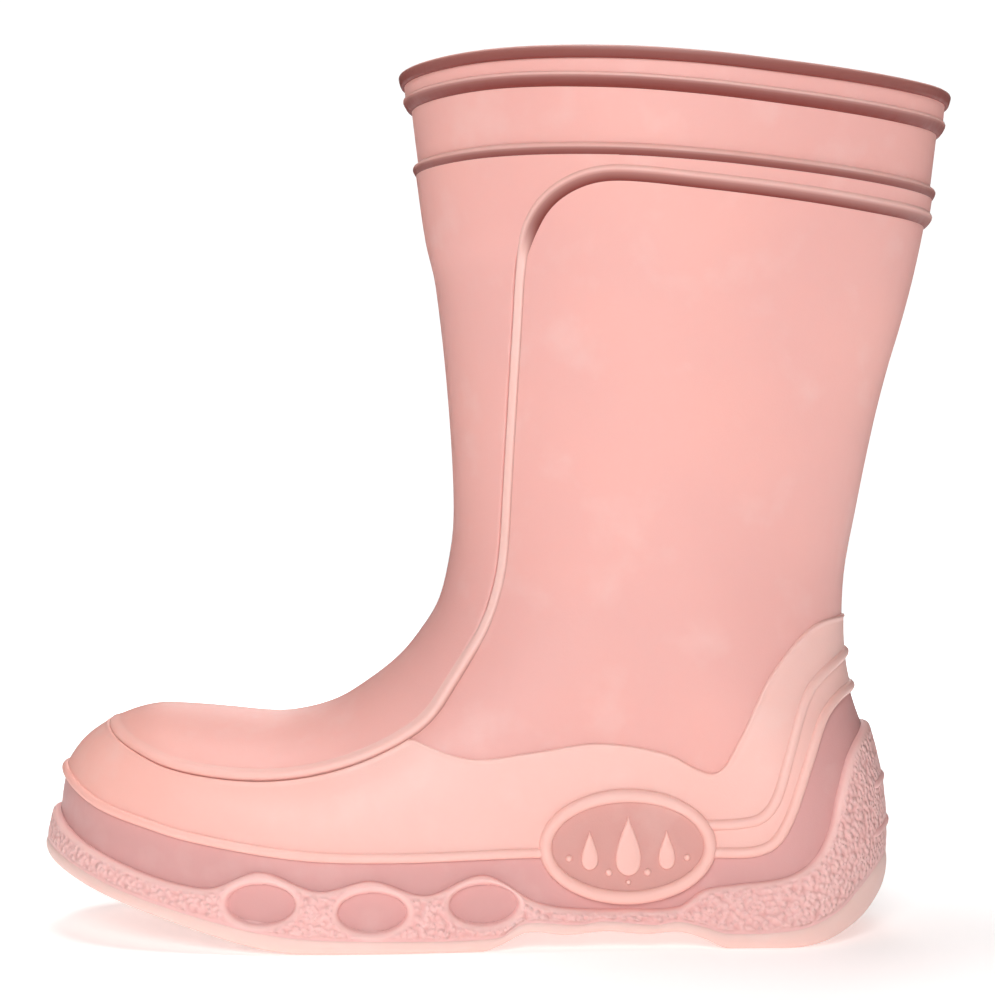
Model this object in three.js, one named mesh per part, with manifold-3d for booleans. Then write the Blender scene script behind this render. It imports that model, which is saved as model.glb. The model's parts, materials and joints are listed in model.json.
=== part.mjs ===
// A left wellington boot, laid up from separate rubber pieces over a lining, a board and a sole.
// Millimetres, +Z up. The toe points to -X, the outer (lateral) side of the foot is -Y.
// The whole boot follows one skin surface. The skin is given by its side view: a front edge,
// a back edge and the half-width at each side-view point (x, z). Every piece is a patch of that
// skin, bounded by side-view lines and moved in or out along the skin's normal.
import * as THREE from "three";
import { mergeVertices } from "three/addons/utils/BufferGeometryUtils.js";
import Module from "manifold-3d";

// ---- Driving dimensions ----------------------------------------------------------------------
const WALL = 2.6; // rubber thickness inside the skin surface
const GAP = 0.5; // clearance between pieces that touch
const PANEL_PROUD = 1.2; // front panel above the skin
const GALOSH_PROUD = 0.7; // galosh above the skin
const WALL_PROUD = 2.4; // textured sole wall above the skin
const TREAD_PROUD = 2.8; // smooth edge of the tread above the skin
const LINING_OUT = -3.7; // outer face of the lining
const LINING_IN = -5.8; // inner face of the lining
const COUNTER_OUT = -3.6; // outer face of the heel stiffener
const COUNTER_IN = -4.7; // inner face of the heel stiffener
const FOOT_INSET = 3.5; // edge of the board and the midsole, inside the skin
const INSOLE_INSET = 13.8; // edge of the insole, inside the skin
const BOARD_THICK = 1.6;
const LINING_FLOOR = 1.4; // lining thickness under the insole
const INSOLE_THICK = 4;
const BEAD_HALF = 1.9; // half the width of the panel and toe beads
const BEAD_HIGH = 1.5;
const SEAM_SHIFT = 2.3; // from a bead's centre line to the seam that it covers
const GROOVE_DEPTH = 1.9; // tread grooves
const GROOVE_WIDTH = 3.2;
const FOOT_COLUMNS = 30; // facets from toe to heel on each side
const LEG_COLUMNS = 20; // facets from shin to calf on each side
const PANEL_COLUMNS = 6; // facets from the seam to the ridge of the front panel
const LATERAL = -1;
const MEDIAL = 1;

// ---- Curves ----------------------------------------------------------------------------------
const lerp = THREE.MathUtils.lerp;
const smoothstep = THREE.MathUtils.smoothstep;

// A smooth function of one number through its knots, straight beyond the first and the last.
function through(...knots) {
  const last = knots.length - 1;
  const slopes = knots.map((_, i) => {
    const before = knots[Math.max(i - 1, 0)];
    const after = knots[Math.min(i + 1, last)];
    return (after[1] - before[1]) / (after[0] - before[0]);
  });
  return (u) => {
    if (u <= knots[0][0]) return knots[0][1] + slopes[0] * (u - knots[0][0]);
    if (u >= knots[last][0]) return knots[last][1] + slopes[last] * (u - knots[last][0]);
    let i = 0;
    while (knots[i + 1][0] <= u) i += 1;
    const span = knots[i + 1][0] - knots[i][0];
    const t = (u - knots[i][0]) / span;
    const rise = t * t * (3 - 2 * t);
    return (
      lerp(knots[i][1], knots[i + 1][1], rise) +
      span * t * (1 - t) * (slopes[i] * (1 - t) - slopes[i + 1] * t)
    );
  };
}

// A level line that drops evenly from the front of the leg (x = -30) to its back (x = 145).
const sloping = (front, back) => (x) => lerp(front, back, (x + 30) / 175);

// The spline through side-view points, moved to its left by a distance.
function besideLine(points, shift, count = 160) {
  const spline = new THREE.SplineCurve(points.map(([x, z]) => new THREE.Vector2(x, z)));
  return Array.from({ length: count + 1 }, (_, i) => {
    const at = spline.getPoint(i / count);
    const along = spline.getTangent(i / count);
    return [at.x - along.y * shift, at.y + along.x * shift];
  });
}

// Height over x of a side-view line whose x only grows.
function heightOf(line) {
  return (x) => {
    let i = 0;
    while (i < line.length - 2 && line[i + 1][0] < x) i += 1;
    const [a, b] = [line[i], line[i + 1]];
    return lerp(a[1], b[1], (x - a[0]) / (b[0] - a[0]));
  };
}

// ---- The skin --------------------------------------------------------------------------------
// A fan of side-view lines from the front edge (first x, z) to where the foot or leg is widest
// (second x, z), in order from under the toe, over the toe and the instep, and up to the rim.
const FAN = [
  [-142, -6, -100, -6],
  [-143.5, 14, -100, 14],
  [-145, 24, -100, 22],
  [-145.6, 29, -100, 27],
  [-144.6, 34, -100, 31],
  [-143.5, 39, -99.5, 34],
  [-142.8, 45, -99, 36],
  [-141.2, 52, -98, 37.5],
  [-137.5, 58.2, -97, 38.5],
  [-132.6, 63, -96, 39],
  [-124, 68, -95, 39],
  [-114, 70.8, -92, 38],
  [-104, 71, -87, 36.5],
  [-89, 70, -77, 34.5],
  [-74.6, 68.8, -66, 32.5],
  [-65, 69.4, -57, 31.5],
  [-54, 72.3, -46, 31],
  [-45, 77.1, -35, 31.5],
  [-32, 87, -16, 36],
  [-24, 97.4, 2, 46],
  [-18.6, 107.6, 18, 62],
  [-15.2, 122.6, 34, 88],
  [-14.1, 136, 43, 112],
  [-15, 159, 49, 145],
  [-17.3, 186.5, 52, 176],
  [-20.3, 211, 54, 204],
  [-23.6, 231, 56, 226],
  [-27.4, 260, 57.5, 257],
  [-29.2, 277, 58.5, 276],
  [-30.4, 293, 59, 293],
];
const FAN_STEPS = 6; // fan lines between two of the lines above
const FRONT_POWER = 2.1; // 2 is an ellipse, more is boxier
const BACK_POWER = 2;
const FAR_OUTSIDE = -0.6; // the least share that is told apart beyond the front edge

const fan = (() => {
  const parts = [0, 1, 2, 3].map((k) => through(...FAN.map((line, i) => [i, line[k]])));
  const count = (FAN.length - 1) * FAN_STEPS;
  return Array.from({ length: count + 1 }, (_, i) => parts.map((part) => part(i / FAN_STEPS)));
})();

const backEdge = through(
  [-6, 121], [5, 122], [14, 123], [24, 124.2], [34, 124.5], [44, 123.9], [54, 122.2], [64, 119.6],
  [73, 116.4], [83, 113.8], [93, 112.6], [106, 112.6], [118, 113.6], [137, 117.2], [152, 120.2],
  [167, 123.5], [182, 127.4], [196, 131.6], [211, 135.6], [231, 139.8], [250, 142.4], [271, 144.8],
  [293, 147],
);
const backReach = through([0, 34], [30, 35], [50, 38], [80, 50], [130, 64], [211, 80], [275, 88]);
const footWidth = through(
  [-148, 40], [-130, 42], [-110, 43.5], [-90, 46], [-70, 47.5], [-50, 47], [-30, 45], [-10, 42],
  [10, 39.5], [30, 38], [60, 37], [127, 37],
);
const legWidth = through(
  [40, 40], [90, 40.5], [110, 41], [135, 42.5], [160, 45.5], [200, 50], [240, 54], [293, 58.5],
);
const toeTurn = through([-148, 7], [-110, 4.5], [-70, 1], [-30, -1], [10, -2], [60, -1], [120, 0]);
const SOLE_FLARE = 0.05; // extra width of the sole, as a share

// 0 at the front edge, 1 from the widest line inwards, negative outside.
function frontShare(x, z) {
  let crossBefore = -Infinity;
  let lengthBefore = 1;
  for (let i = 0; i < fan.length; i += 1) {
    const [tx, tz, mx, mz] = fan[i];
    const length = Math.hypot(mx - tx, mz - tz);
    const cross = ((mx - tx) * (z - tz) - (mz - tz) * (x - tx)) / length;
    if (crossBefore >= 0 && cross < 0) {
      const t = crossBefore / (crossBefore - cross);
      const before = fan[i - 1];
      const [ax, az, bx, bz] = before.map((value, k) => lerp(value, fan[i][k], t));
      const reach = lerp(lengthBefore, length, t);
      const share = ((x - ax) * (bx - ax) + (z - az) * (bz - az)) / (reach * reach);
      if (share < 1) return Math.max(share, FAR_OUTSIDE);
    }
    crossBefore = cross;
    lengthBefore = length;
  }
  return 1;
}

const rounding = (share, power) =>
  share >= 1 ? 1 : 1 - Math.abs(1 - share) ** power;

const centreLine = (x, z) => toeTurn(x) * (1 - smoothstep(z, 70, 110));

// Square of the skin's half-width at a side-view point, negative outside the silhouette.
function widthSquared(x, z) {
  const foot = footWidth(x) ** 2;
  const leg = legWidth(z) ** 2;
  const flare = 1 + SOLE_FLARE * (1 - smoothstep(z, 8, 44));
  const front = rounding(frontShare(x, z), FRONT_POWER);
  const back = rounding((backEdge(z) - x) / backReach(z), BACK_POWER);
  return lerp(foot, leg, smoothstep(z, 45, 110)) * flare ** 2 * Math.min(front, 1) * back;
}

const ON_SILHOUETTE = 1e-3; // square of a half-width that counts as none

// The skin's point over (x, z) on one side, moved out along its normal, or level if asked.
function skin([x, z], side, out, level = false) {
  const step = 0.4; // mm, for the slopes
  const slope = (f) => [
    (f(x + step, z) - f(x - step, z)) / (2 * step),
    (f(x, z + step) - f(x, z - step)) / (2 * step),
  ];
  const square = widthSquared(x, z);
  const half = square < ON_SILHOUETTE ? 0 : side * Math.sqrt(square);
  const [widthX, widthZ] = slope(widthSquared);
  const [turnX, turnZ] = slope(centreLine);
  const normal = new THREE.Vector3(
    -widthX - 2 * half * turnX,
    2 * half,
    -widthZ - 2 * half * turnZ,
  ).normalize();
  if (level) normal.setZ(0).normalize();
  return new THREE.Vector3(x, centreLine(x, z) + half, z).addScaledVector(normal, out);
}

// ---- Side-view lines cut to the boot and shared out in facets --------------------------------
const onBoot = ([x, z]) => widthSquared(x, z);

// The longest stretch of a line on which the test is positive, with its ends found exactly.
function cut(line, test = onBoot) {
  const runs = [];
  line.forEach((point, i) => {
    if (test(point) <= 0) return;
    if (i > 0 && runs.length && runs.at(-1).at(-1) === i - 1) runs.at(-1).push(i);
    else runs.push([i]);
  });
  const run = runs.sort((a, b) => b.length - a.length)[0];
  const exactEnd = (inside, outside) => {
    if (!outside) return inside;
    let [a, b] = [inside, outside];
    for (let k = 0; k < 30; k += 1) {
      const middle = [(a[0] + b[0]) / 2, (a[1] + b[1]) / 2];
      if (test(middle) > 0) a = middle;
      else b = middle;
    }
    return a;
  };
  const [first, last] = [run[0], run.at(-1)];
  return [
    exactEnd(line[first], line[first - 1]),
    ...run.slice(1, -1).map((i) => line[i]),
    exactEnd(line[last], line[last + 1]),
  ];
}

const TURN_WEIGHT = 60; // mm of length that one radian of turning counts for

// The line's points for a number of facets, closer where the skin turns.
function facets(line, count) {
  const lengths = [0];
  for (let i = 1; i < line.length; i += 1) {
    const [a, b] = [line[i - 1], line[i]];
    lengths.push(lengths.at(-1) + Math.hypot(b[0] - a[0], b[1] - a[1]));
  }
  const at = (t) => {
    const want = t * lengths.at(-1);
    let i = 1;
    while (i < line.length - 1 && lengths[i] < want) i += 1;
    const share = (want - lengths[i - 1]) / (lengths[i] - lengths[i - 1]);
    return [lerp(line[i - 1][0], line[i][0], share), lerp(line[i - 1][1], line[i][1], share)];
  };
  const FINE = 180;
  const eased = Array.from({ length: FINE + 1 }, (_, i) => (1 - Math.cos((Math.PI * i) / FINE)) / 2);
  const points = eased.map((t) => skin(at(t), LATERAL, 0));
  const weights = [0];
  let heading = points[1].clone().sub(points[0]).normalize();
  for (let i = 1; i <= FINE; i += 1) {
    const stretch = points[i].clone().sub(points[i - 1]);
    const turned = heading.angleTo(stretch);
    heading = stretch.clone().normalize();
    weights.push(weights.at(-1) + stretch.length() + TURN_WEIGHT * turned);
  }
  let i = 1;
  return Array.from({ length: count + 1 }, (_, k) => {
    const want = (k / count) * weights.at(-1);
    while (i < FINE && weights[i] < want) i += 1;
    const share = THREE.MathUtils.clamp((want - weights[i - 1]) / (weights[i] - weights[i - 1]), 0, 1);
    return at(lerp(eased[i - 1], eased[i], share));
  });
}

// A line z(x) as points, across the whole side view.
const drawn = (z, from = -150, to = 150) =>
  Array.from({ length: 151 }, (_, i) => {
    const x = lerp(from, to, i / 150);
    return [x, z(x)];
  });

// ---- Closed meshes ---------------------------------------------------------------------------
function geometryOf(points, triangles) {
  const same = (a, b) => points[a].distanceToSquared(points[b]) < 1e-8;
  const kept = triangles.filter(([a, b, c]) => !same(a, b) && !same(b, c) && !same(a, c));
  const volume = kept.reduce(
    (sum, [a, b, c]) => sum + points[a].dot(points[b].clone().cross(points[c])),
    0,
  );
  const outward = kept.map(([a, b, c]) => (volume > 0 ? [a, b, c] : [a, c, b]));
  const geometry = new THREE.BufferGeometry().setFromPoints(points);
  geometry.setIndex(outward.flat());
  return geometry;
}

const quad = (a, b, c, d) => [[a, b, c], [a, c, d]];

// A solid from equal loops of points: loops run along the piece, and one after another they go
// once round its section. Without joined, the loops' two ends are capped.
function solidFromLoops(loops, joined) {
  const columns = loops[0].length;
  const index = (j, i) => (j % loops.length) * columns + (i % columns);
  const triangles = [];
  for (let j = 0; j < loops.length; j += 1) {
    for (let i = 0; i < columns - (joined ? 0 : 1); i += 1) {
      triangles.push(...quad(index(j, i), index(j, i + 1), index(j + 1, i + 1), index(j + 1, i)));
    }
  }
  if (!joined) {
    for (let j = 0; j < loops.length / 2 - 1; j += 1) {
      const across = loops.length - 1 - j;
      triangles.push(...quad(index(j, 0), index(j + 1, 0), index(across - 1, 0), index(across, 0)));
      const end = columns - 1;
      triangles.push(
        ...quad(index(across, end), index(across - 1, end), index(j + 1, end), index(j, end)),
      );
    }
  }
  return geometryOf(loops.flat(), triangles);
}

// Round the boot: out along the lateral side and back along the medial side.
const around = (row, out, level) => [
  ...row.map((p) => skin(p, LATERAL, out, level)),
  ...row.slice(1, -1).reverse().map((p) => skin(p, MEDIAL, out, level)),
];
// From a free edge on the lateral side, over the silhouette, to the same edge on the medial side.
const over = (row, out) => [
  ...row.map((p) => skin(p, LATERAL, out)),
  ...row.slice(0, -1).reverse().map((p) => skin(p, MEDIAL, out)),
];

// A shell between two offsets from the skin.
function shell(rows, walk, outer, inner) {
  const back = [...rows].reverse();
  const loops = [...rows.map((r) => walk(r, outer)), ...back.map((r) => walk(r, inner))];
  return solidFromLoops(loops, walk === around);
}

// How the facets of a row are shared out: closer at the silhouette, where the skin turns away.
const atBothEnds = (t) => (1 - Math.cos(Math.PI * t)) / 2;
const atTheEnd = (t) => Math.sin((Math.PI * t) / 2);

// The points of one level line, at shares of its own stretch of x, so that rows stay in step.
function levelRow(level, columns, test = onBoot, sharing = atBothEnds) {
  const line = cut(drawn(level), test);
  const [from, to] = [line[0], line.at(-1)];
  return Array.from({ length: columns + 1 }, (_, i) => {
    if (i === 0) return from;
    if (i === columns) return to;
    const x = lerp(from[0], to[0], sharing(i / columns));
    return [x, level(x)];
  });
}

// Rows of a band between two level functions, from the toe or shin to the heel or calf.
const bandRows = (low, high, count, ...how) =>
  Array.from({ length: count + 1 }, (_, j) =>
    levelRow((x) => lerp(low(x), high(x), j / count), ...how),
  );

// The points of a straight side-view line that ends at the silhouette.
function straightRow(line, columns) {
  const [from, to] = [line[0], line.at(-1)];
  return Array.from({ length: columns + 1 }, (_, i) => {
    const share = atTheEnd(i / columns);
    return [lerp(from[0], to[0], share), lerp(from[1], to[1], share)];
  });
}

// A solid plate under the foot from loops stacked upwards, closed across at its two faces.
function plate(loops) {
  const columns = loops[0].length;
  const half = columns / 2;
  const triangles = [];
  for (let j = 0; j < loops.length - 1; j += 1) {
    for (let i = 0; i < columns; i += 1) {
      const next = (i + 1) % columns;
      const [low, high] = [j * columns, (j + 1) * columns];
      triangles.push(...quad(low + i, low + next, high + next, high + i));
    }
  }
  for (let i = 0; i < half; i += 1) {
    const [a, b] = [i, i + 1];
    const [c, d] = [(columns - i - 1) % columns, (columns - i) % columns];
    triangles.push(...quad(b, a, d, c));
    const top = (loops.length - 1) * columns;
    triangles.push(...quad(top + a, top + b, top + c, top + d));
  }
  return geometryOf(loops.flat(), triangles);
}

// A raised strip along the skin. Its section is [up, out] points, and lift is its base height.
function strip(stations, joined, section, lift) {
  const places = stations.map(([point, side]) => skin(point, side, 0));
  const count = stations.length;
  const frames = stations.map(([point, side], i) => {
    const before = places[joined ? (i + count - 1) % count : Math.max(i - 1, 0)];
    const after = places[joined ? (i + 1) % count : Math.min(i + 1, count - 1)];
    const along = after.clone().sub(before).normalize();
    const out = skin(point, side, 1).sub(places[i]);
    const up = out.clone().cross(along).normalize();
    return { out, up, base: lift(point), tall: section.tall ? section.tall(point) : 1 };
  });
  const loops = section.outline.map(([up, out]) =>
    places.map((place, i) => {
      const frame = frames[i];
      const height = frame.base + out * frame.tall;
      return place.clone().addScaledVector(frame.up, up).addScaledVector(frame.out, height);
    }),
  );
  return solidFromLoops(loops, joined);
}
const ringStations = (row) => [
  ...row.map((p) => [p, LATERAL]),
  ...row.slice(1, -1).reverse().map((p) => [p, MEDIAL]),
];
const openStations = (row) => [
  ...row.map((p) => [p, LATERAL]),
  ...row.slice(0, -1).reverse().map((p) => [p, MEDIAL]),
];
const roundBead = (half, high) => [
  [-half, 0], [-half, 0.45 * high], [-0.55 * half, high],
  [0.55 * half, high], [half, 0.45 * high], [half, 0],
];

// ---- Solid cutting ---------------------------------------------------------------------------
const wasm = await Module();
wasm.setup();

function toSolid(geometry) {
  const bare = geometry.clone();
  bare.deleteAttribute("normal");
  bare.deleteAttribute("uv");
  const merged = mergeVertices(bare, 1e-4);
  return new wasm.Manifold(
    new wasm.Mesh({
      numProp: 3,
      vertProperties: merged.attributes.position.array,
      triVerts: new Uint32Array(merged.index.array),
    }),
  );
}

function toGeometry(solid) {
  const { vertProperties, triVerts } = solid.getMesh();
  const geometry = new THREE.BufferGeometry();
  geometry.setAttribute("position", new THREE.BufferAttribute(vertProperties, 3));
  return geometry.setIndex(new THREE.BufferAttribute(triVerts, 1));
}

// ---- Side-view lines of the pieces -----------------------------------------------------------
const rimTop = sloping(277.6, 271.6);
const ribUpperLine = sloping(268, 261);
const ribLowerLine = sloping(246.4, 238.2);
const beadBackLine = sloping(243, 230.2);
const panelLine = [
  [-128.5, 69.5], [-126, 67], [-123.7, 65.1], [-116.2, 61.3], [-98.7, 55], [-70.4, 52.6],
  [-45.4, 57.3], [-23.8, 68.4], [-14.6, 80.7], [-5.4, 96], [-0.8, 108.4], [1.7, 120.6],
  [3.2, 145], [4.7, 169], [7.4, 200], [9, 216.5], [11.4, 225.6], [17.5, 233], [28, 238.7],
];
const panelEdge = heightOf([...besideLine(panelLine, SEAM_SHIFT + 3 * GAP), [31, 262]]);
const legEdge = heightOf([...besideLine(panelLine, SEAM_SHIFT), [33, 262]]);
const wavyLine = [
  [-60, 80], [-40, 70], [-26.9, 64.6], [-8.4, 58.8], [10, 60.7], [31.5, 63.6], [52, 60.4],
  [62, 55.5], [69, 54.5], [76, 66], [85, 84], [98.6, 98.6], [111, 102], [124, 103],
];
const galoshTop = heightOf(besideLine(wavyLine, 0));
const legBottom = heightOf(besideLine(wavyLine, 3.4 * GAP));
const featherLine = [
  [-150, 58.5], [-141.2, 52], [-126.4, 43.6], [-109, 38.4], [-91.7, 34.2], [-60.6, 29.7],
  [-30, 28.8], [11.5, 29.7], [40, 29.5], [68.7, 29.3], [80, 29.6], [86.5, 32.5], [91, 40],
  [94.6, 50], [98.2, 60], [102, 69.7], [107.6, 76], [115, 79], [124, 81],
];
const galoshFoot = heightOf(besideLine(featherLine, -SEAM_SHIFT));
const randTop = heightOf(besideLine(featherLine, -SEAM_SHIFT - GAP));
const textureTop = through(
  [-150, 45], [-143, 38.7], [-133.7, 32.5], [-114.4, 24.8], [-100, 20.8], [-88, 19.6], [-73, 24.8],
  [-54.7, 19.1], [-38.8, 22.2], [-21.9, 17.6], [-4.4, 23.4], [12, 15], [24, 12.8], [40, 12.4],
  [56, 13], [64, 18], [74.7, 19.7], [89.8, 21.9], [98.9, 27.5], [103.9, 36.8], [106.5, 47],
  [110.8, 58.5], [119, 67.3], [126, 71],
);
const treadTop = through(
  [-150, 31], [-147, 30], [-130, 23], [-113.5, 17], [-86, 9.6], [-63, 5.4], [-45, 4.4], [0, 4.4],
  [8, 8.6], [25, 8], [33, 9], [49, 7.6], [56, 8.6], [64, 7], [72, 4.9], [93, 6.2], [105, 11],
  [114, 19], [121, 25], [127, 27],
);
const curvedBottom = through(
  [-150, 25.5], [-147, 24.5], [-136, 20.5], [-123, 16], [-98, 8.3], [-82, 3.6], [-70, 0.9], [-60, 0],
  [-5, 0], [1, 2], [9, 5.6], [21, 4.6], [33, 5.6], [46, 4.6], [56, 5.2], [64, 3], [71, 0], [92, 0],
  [98, 0.7], [103, 2], [108, 4.2], [114, 7.5], [120.5, 12.5], [126, 16],
);
// Flat on the ground under the ball and the heel.
const treadBottom = (x) => Math.max(curvedBottom(x), 0);
// The lasted floor on which the board lies.
const floorLine = through(
  [-150, 42], [-138, 37], [-120, 28.5], [-100, 21], [-80, 15.5], [-60, 12.8], [-40, 12.2],
  [-10, 14], [20, 18.2], [50, 22.2], [80, 24], [127, 24.6],
);
const raised = (line, by) => (x) => line(x) + by;
const liningFloor = raised(floorLine, BOARD_THICK + 2 * GAP);
const insoleFloor = raised(liningFloor, LINING_FLOOR + 2 * GAP);

// ---- Upper -----------------------------------------------------------------------------------
const inFrontOfSeam = ([x, z]) => Math.min(widthSquared(x, z), z - panelEdge(x));
const behindSeam = ([x, z]) => Math.min(widthSquared(x, z), legEdge(x) - z);

// The front panel's rows follow the fan from the toe up, and the last one runs under rib_lower.
function frontPanel() {
  const top = raised(ribLowerLine, -SEAM_SHIFT - GAP);
  const firstLine = 61.6; // fan line at the panel's tip on the toe
  const lastLine = 156; // fan line just under the panel's top edge
  const count = 26;
  const rows = [];
  for (let j = 0; j < count; j += 1) {
    const at = lerp(firstLine, lastLine, (j / (count - 1)) ** 1.15);
    const [a, b] = [fan[Math.floor(at)], fan[Math.floor(at) + 1]];
    const [tx, tz, mx, mz] = a.map((value, k) => lerp(value, b[k], at % 1));
    const line = Array.from({ length: 81 }, (_, i) => {
      const share = lerp(1.4, -0.1, i / 80);
      return [lerp(tx, mx, share), lerp(tz, mz, share)];
    });
    rows.push(straightRow(cut(line, inFrontOfSeam), PANEL_COLUMNS));
  }
  rows.push(straightRow(cut(drawn(top).reverse(), inFrontOfSeam), PANEL_COLUMNS));
  return shell(rows, over, PANEL_PROUD, -WALL);
}

function legShell() {
  const high = raised(ribLowerLine, -SEAM_SHIFT - GAP);
  const rows = bandRows(legBottom, high, 10, 16, behindSeam, atTheEnd);
  return shell(rows, over, 0, -WALL);
}

function galosh() {
  const top = (x) => Math.min(legEdge(x), galoshTop(x));
  return shell(bandRows(galoshFoot, top, 4, FOOT_COLUMNS), around, GALOSH_PROUD, -WALL);
}

const onLeg = ([x, z]) => (x > -60 ? widthSquared(x, z) : -1);

function topCuff() {
  const low = raised(ribLowerLine, -SEAM_SHIFT);
  return shell(bandRows(low, raised(rimTop, -5.1), 2, LEG_COLUMNS, onLeg), around, 0, -WALL);
}

const legRing = (level) => levelRow(level, LEG_COLUMNS, onLeg);

function rimBinding() {
  const outline = [
    [-2.1, -5.2], [-2.1, 0.7], [-2.5, 2.3], [-1.2, 3.1], [1.2, 2.3], [2.2, 0.6], [2.3, -3.6], [1.2, -5.2],
  ];
  return strip(ringStations(legRing(raised(rimTop, -2.3))), true, { outline }, () => 0);
}

// A ring with a flat underside and a sloping top, like a barb.
function cuffRib(level) {
  const outline = [[-1.6, 0], [-1.6, 1.5], [-1, 1.9], [0.4, 1.5], [1.6, 0.5], [1.6, 0]];
  return strip(ringStations(legRing(level)), true, { outline }, () => GAP);
}

function panelBead() {
  const corner = [[18.4, 231.6], [28.6, 237.2], [42, 237.4]];
  const rear = [60, 80, 100, 120, 140, 160].map((x) => [x, beadBackLine(x)]);
  const path = besideLine([...panelLine.slice(0, -2), ...corner, ...rear], 0, 400);
  // Full height round the foot, the top corner and the back, and nearly flat up the shin.
  const tall = ([x, z]) =>
    lerp(1, 0.45, smoothstep(z, 100, 118) * (1 - smoothstep(z, 205, 222)) * (x < 30 ? 1 : 0));
  const outline = roundBead(BEAD_HALF, BEAD_HIGH);
  const lift = ([, z]) => lerp(GALOSH_PROUD, 0, smoothstep(z, 66, 84)) + GAP;
  return strip(ringStations(facets(cut(path), 52)), true, { outline, tall }, lift);
}

function toeBead(endX) {
  const outline = roundBead(BEAD_HALF, BEAD_HIGH);
  const row = cut(besideLine(featherLine, 0, 300), ([x, z]) => Math.min(onBoot([x, z]), endX - x));
  const lift = () => GALOSH_PROUD + GAP;
  return strip(openStations(facets(row.reverse(), 20)), false, { outline }, lift);
}

const heelUpperLine = [
  [66.8, 37.8], [76, 38.3], [82.5, 40], [87, 46], [91, 59.5], [96.6, 76.5], [103, 84], [113.5, 90.3],
  [122, 93],
];
const heelLowerLine = featherLine.slice(featherLine.findIndex(([x]) => x > 60));

function heelStrip(points, startX) {
  const outline = roundBead(1.5, 1.2);
  const row = cut(besideLine(points, 0, 200), ([x, z]) => Math.min(onBoot([x, z]), x - startX));
  return strip(openStations(facets(row, 15)), false, { outline }, () => GALOSH_PROUD + GAP);
}

function kickRidge(from, to, startX) {
  const outline = [[-2, 0], [-1.6, 1.1], [-0.6, 1.5], [0.6, 1.5], [1.6, 1.1], [2, 0]];
  const level = (x) => lerp(from, to, (x - startX) / 8);
  const row = cut(drawn(level, 100, 130), ([x, z]) => Math.min(onBoot([x, z]), x - startX));
  return strip(openStations(facets(row, 6)), false, { outline }, () => WALL_PROUD + GAP);
}

// ---- Sole ------------------------------------------------------------------------------------
const wallRows = () => bandRows(raised(treadTop, GAP), textureTop, 2, FOOT_COLUMNS);

// The rand shares the rows of the textured wall that covers its lower part.
function rand() {
  const rows = [...wallRows(), ...bandRows(textureTop, randTop, 2, FOOT_COLUMNS).slice(1)];
  return shell(rows, around, 0, -WALL);
}

const WINDOWS = [[-72.4, 15.1], [-38.4, 12.6], [-4.4, 14.5]]; // centres, the same on both sides
const WINDOW_HALF = [10.3, 5.9];

function outsoleWall() {
  let solid = toSolid(shell(wallRows(), around, WALL_PROUD, GAP));
  for (const [x, z] of WINDOWS) {
    const ellipse = new THREE.Shape().absellipse(0, 0, ...WINDOW_HALF, 0, Math.PI * 2);
    const options = { depth: 160, bevelEnabled: false, curveSegments: 12 };
    const cutter = new THREE.ExtrudeGeometry(ellipse, options);
    cutter.rotateX(Math.PI / 2).translate(x, 80, z);
    solid = solid.subtract(toSolid(cutter));
  }
  return toGeometry(solid);
}

// A chevron groove across the sole, as an upright prism.
function grooveCutter(x, reach) {
  const point = 5; // mm by which the chevron's middle leads
  const chevron = new THREE.Shape([
    new THREE.Vector2(x, -reach),
    new THREE.Vector2(x + GROOVE_WIDTH, -reach),
    new THREE.Vector2(x + GROOVE_WIDTH - point, 0),
    new THREE.Vector2(x + GROOVE_WIDTH, reach),
    new THREE.Vector2(x, reach),
    new THREE.Vector2(x - point, 0),
  ]);
  const cutter = new THREE.ExtrudeGeometry(chevron, { depth: 8, bevelEnabled: false });
  return cutter.translate(0, 0, treadBottom(x) + GROOVE_DEPTH - 8);
}

const GROOVES = [-112, -101, -90, -79, -68, -57, -46, -35, -24, -13, 74, 85, 96];

function treadSole() {
  const level = (share) => (x) => lerp(treadBottom(x), treadTop(x), share);
  const loop = (share, out) => around(levelRow(level(share), FOOT_COLUMNS), out, true);
  const edge = [[0, 1.4], [0.3, TREAD_PROUD], [0.75, TREAD_PROUD], [1, 1.9]];
  let solid = toSolid(plate(edge.map(([share, out]) => loop(share, out))));
  for (const x of GROOVES) {
    const reach = Math.sqrt(widthSquared(x, 20)) - 9;
    solid = solid.subtract(toSolid(grooveCutter(x, reach)));
  }
  return toGeometry(solid);
}

function footPlate(low, high, inset, columns) {
  const loop = (line) => around(levelRow(line, columns), -inset, true);
  return plate([loop(low), loop(high)]);
}

// A bent steel strip under the board, or with clearance the pocket that it lies in.
function shankStrip(clearance) {
  const half = 7 + clearance;
  const [from, to] = [-22 - clearance, 70 + clearance];
  const stations = Array.from({ length: 9 }, (_, i) => lerp(from, to, i / 8));
  const corners = [
    [-half, -GAP], [half, -GAP], [half, -2 - clearance], [-half, -2 - clearance],
  ];
  const rise = clearance > 0 ? 3 : 0; // the pocket is open at the top
  const loops = corners.map(([y, z]) =>
    stations.map((x) => new THREE.Vector3(x, y - 1, floorLine(x) + z + (z > -1 ? rise : 0))),
  );
  return solidFromLoops(loops, false);
}

function midsole() {
  const [low, high] = [raised(treadTop, GAP), raised(floorLine, -GAP)];
  const body = footPlate(low, high, FOOT_INSET, FOOT_COLUMNS);
  return toGeometry(toSolid(body).subtract(toSolid(shankStrip(GAP))));
}

// ---- Inside ----------------------------------------------------------------------------------
const SOCK_COLUMNS = 9; // facets from the top to the floor on each side
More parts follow.
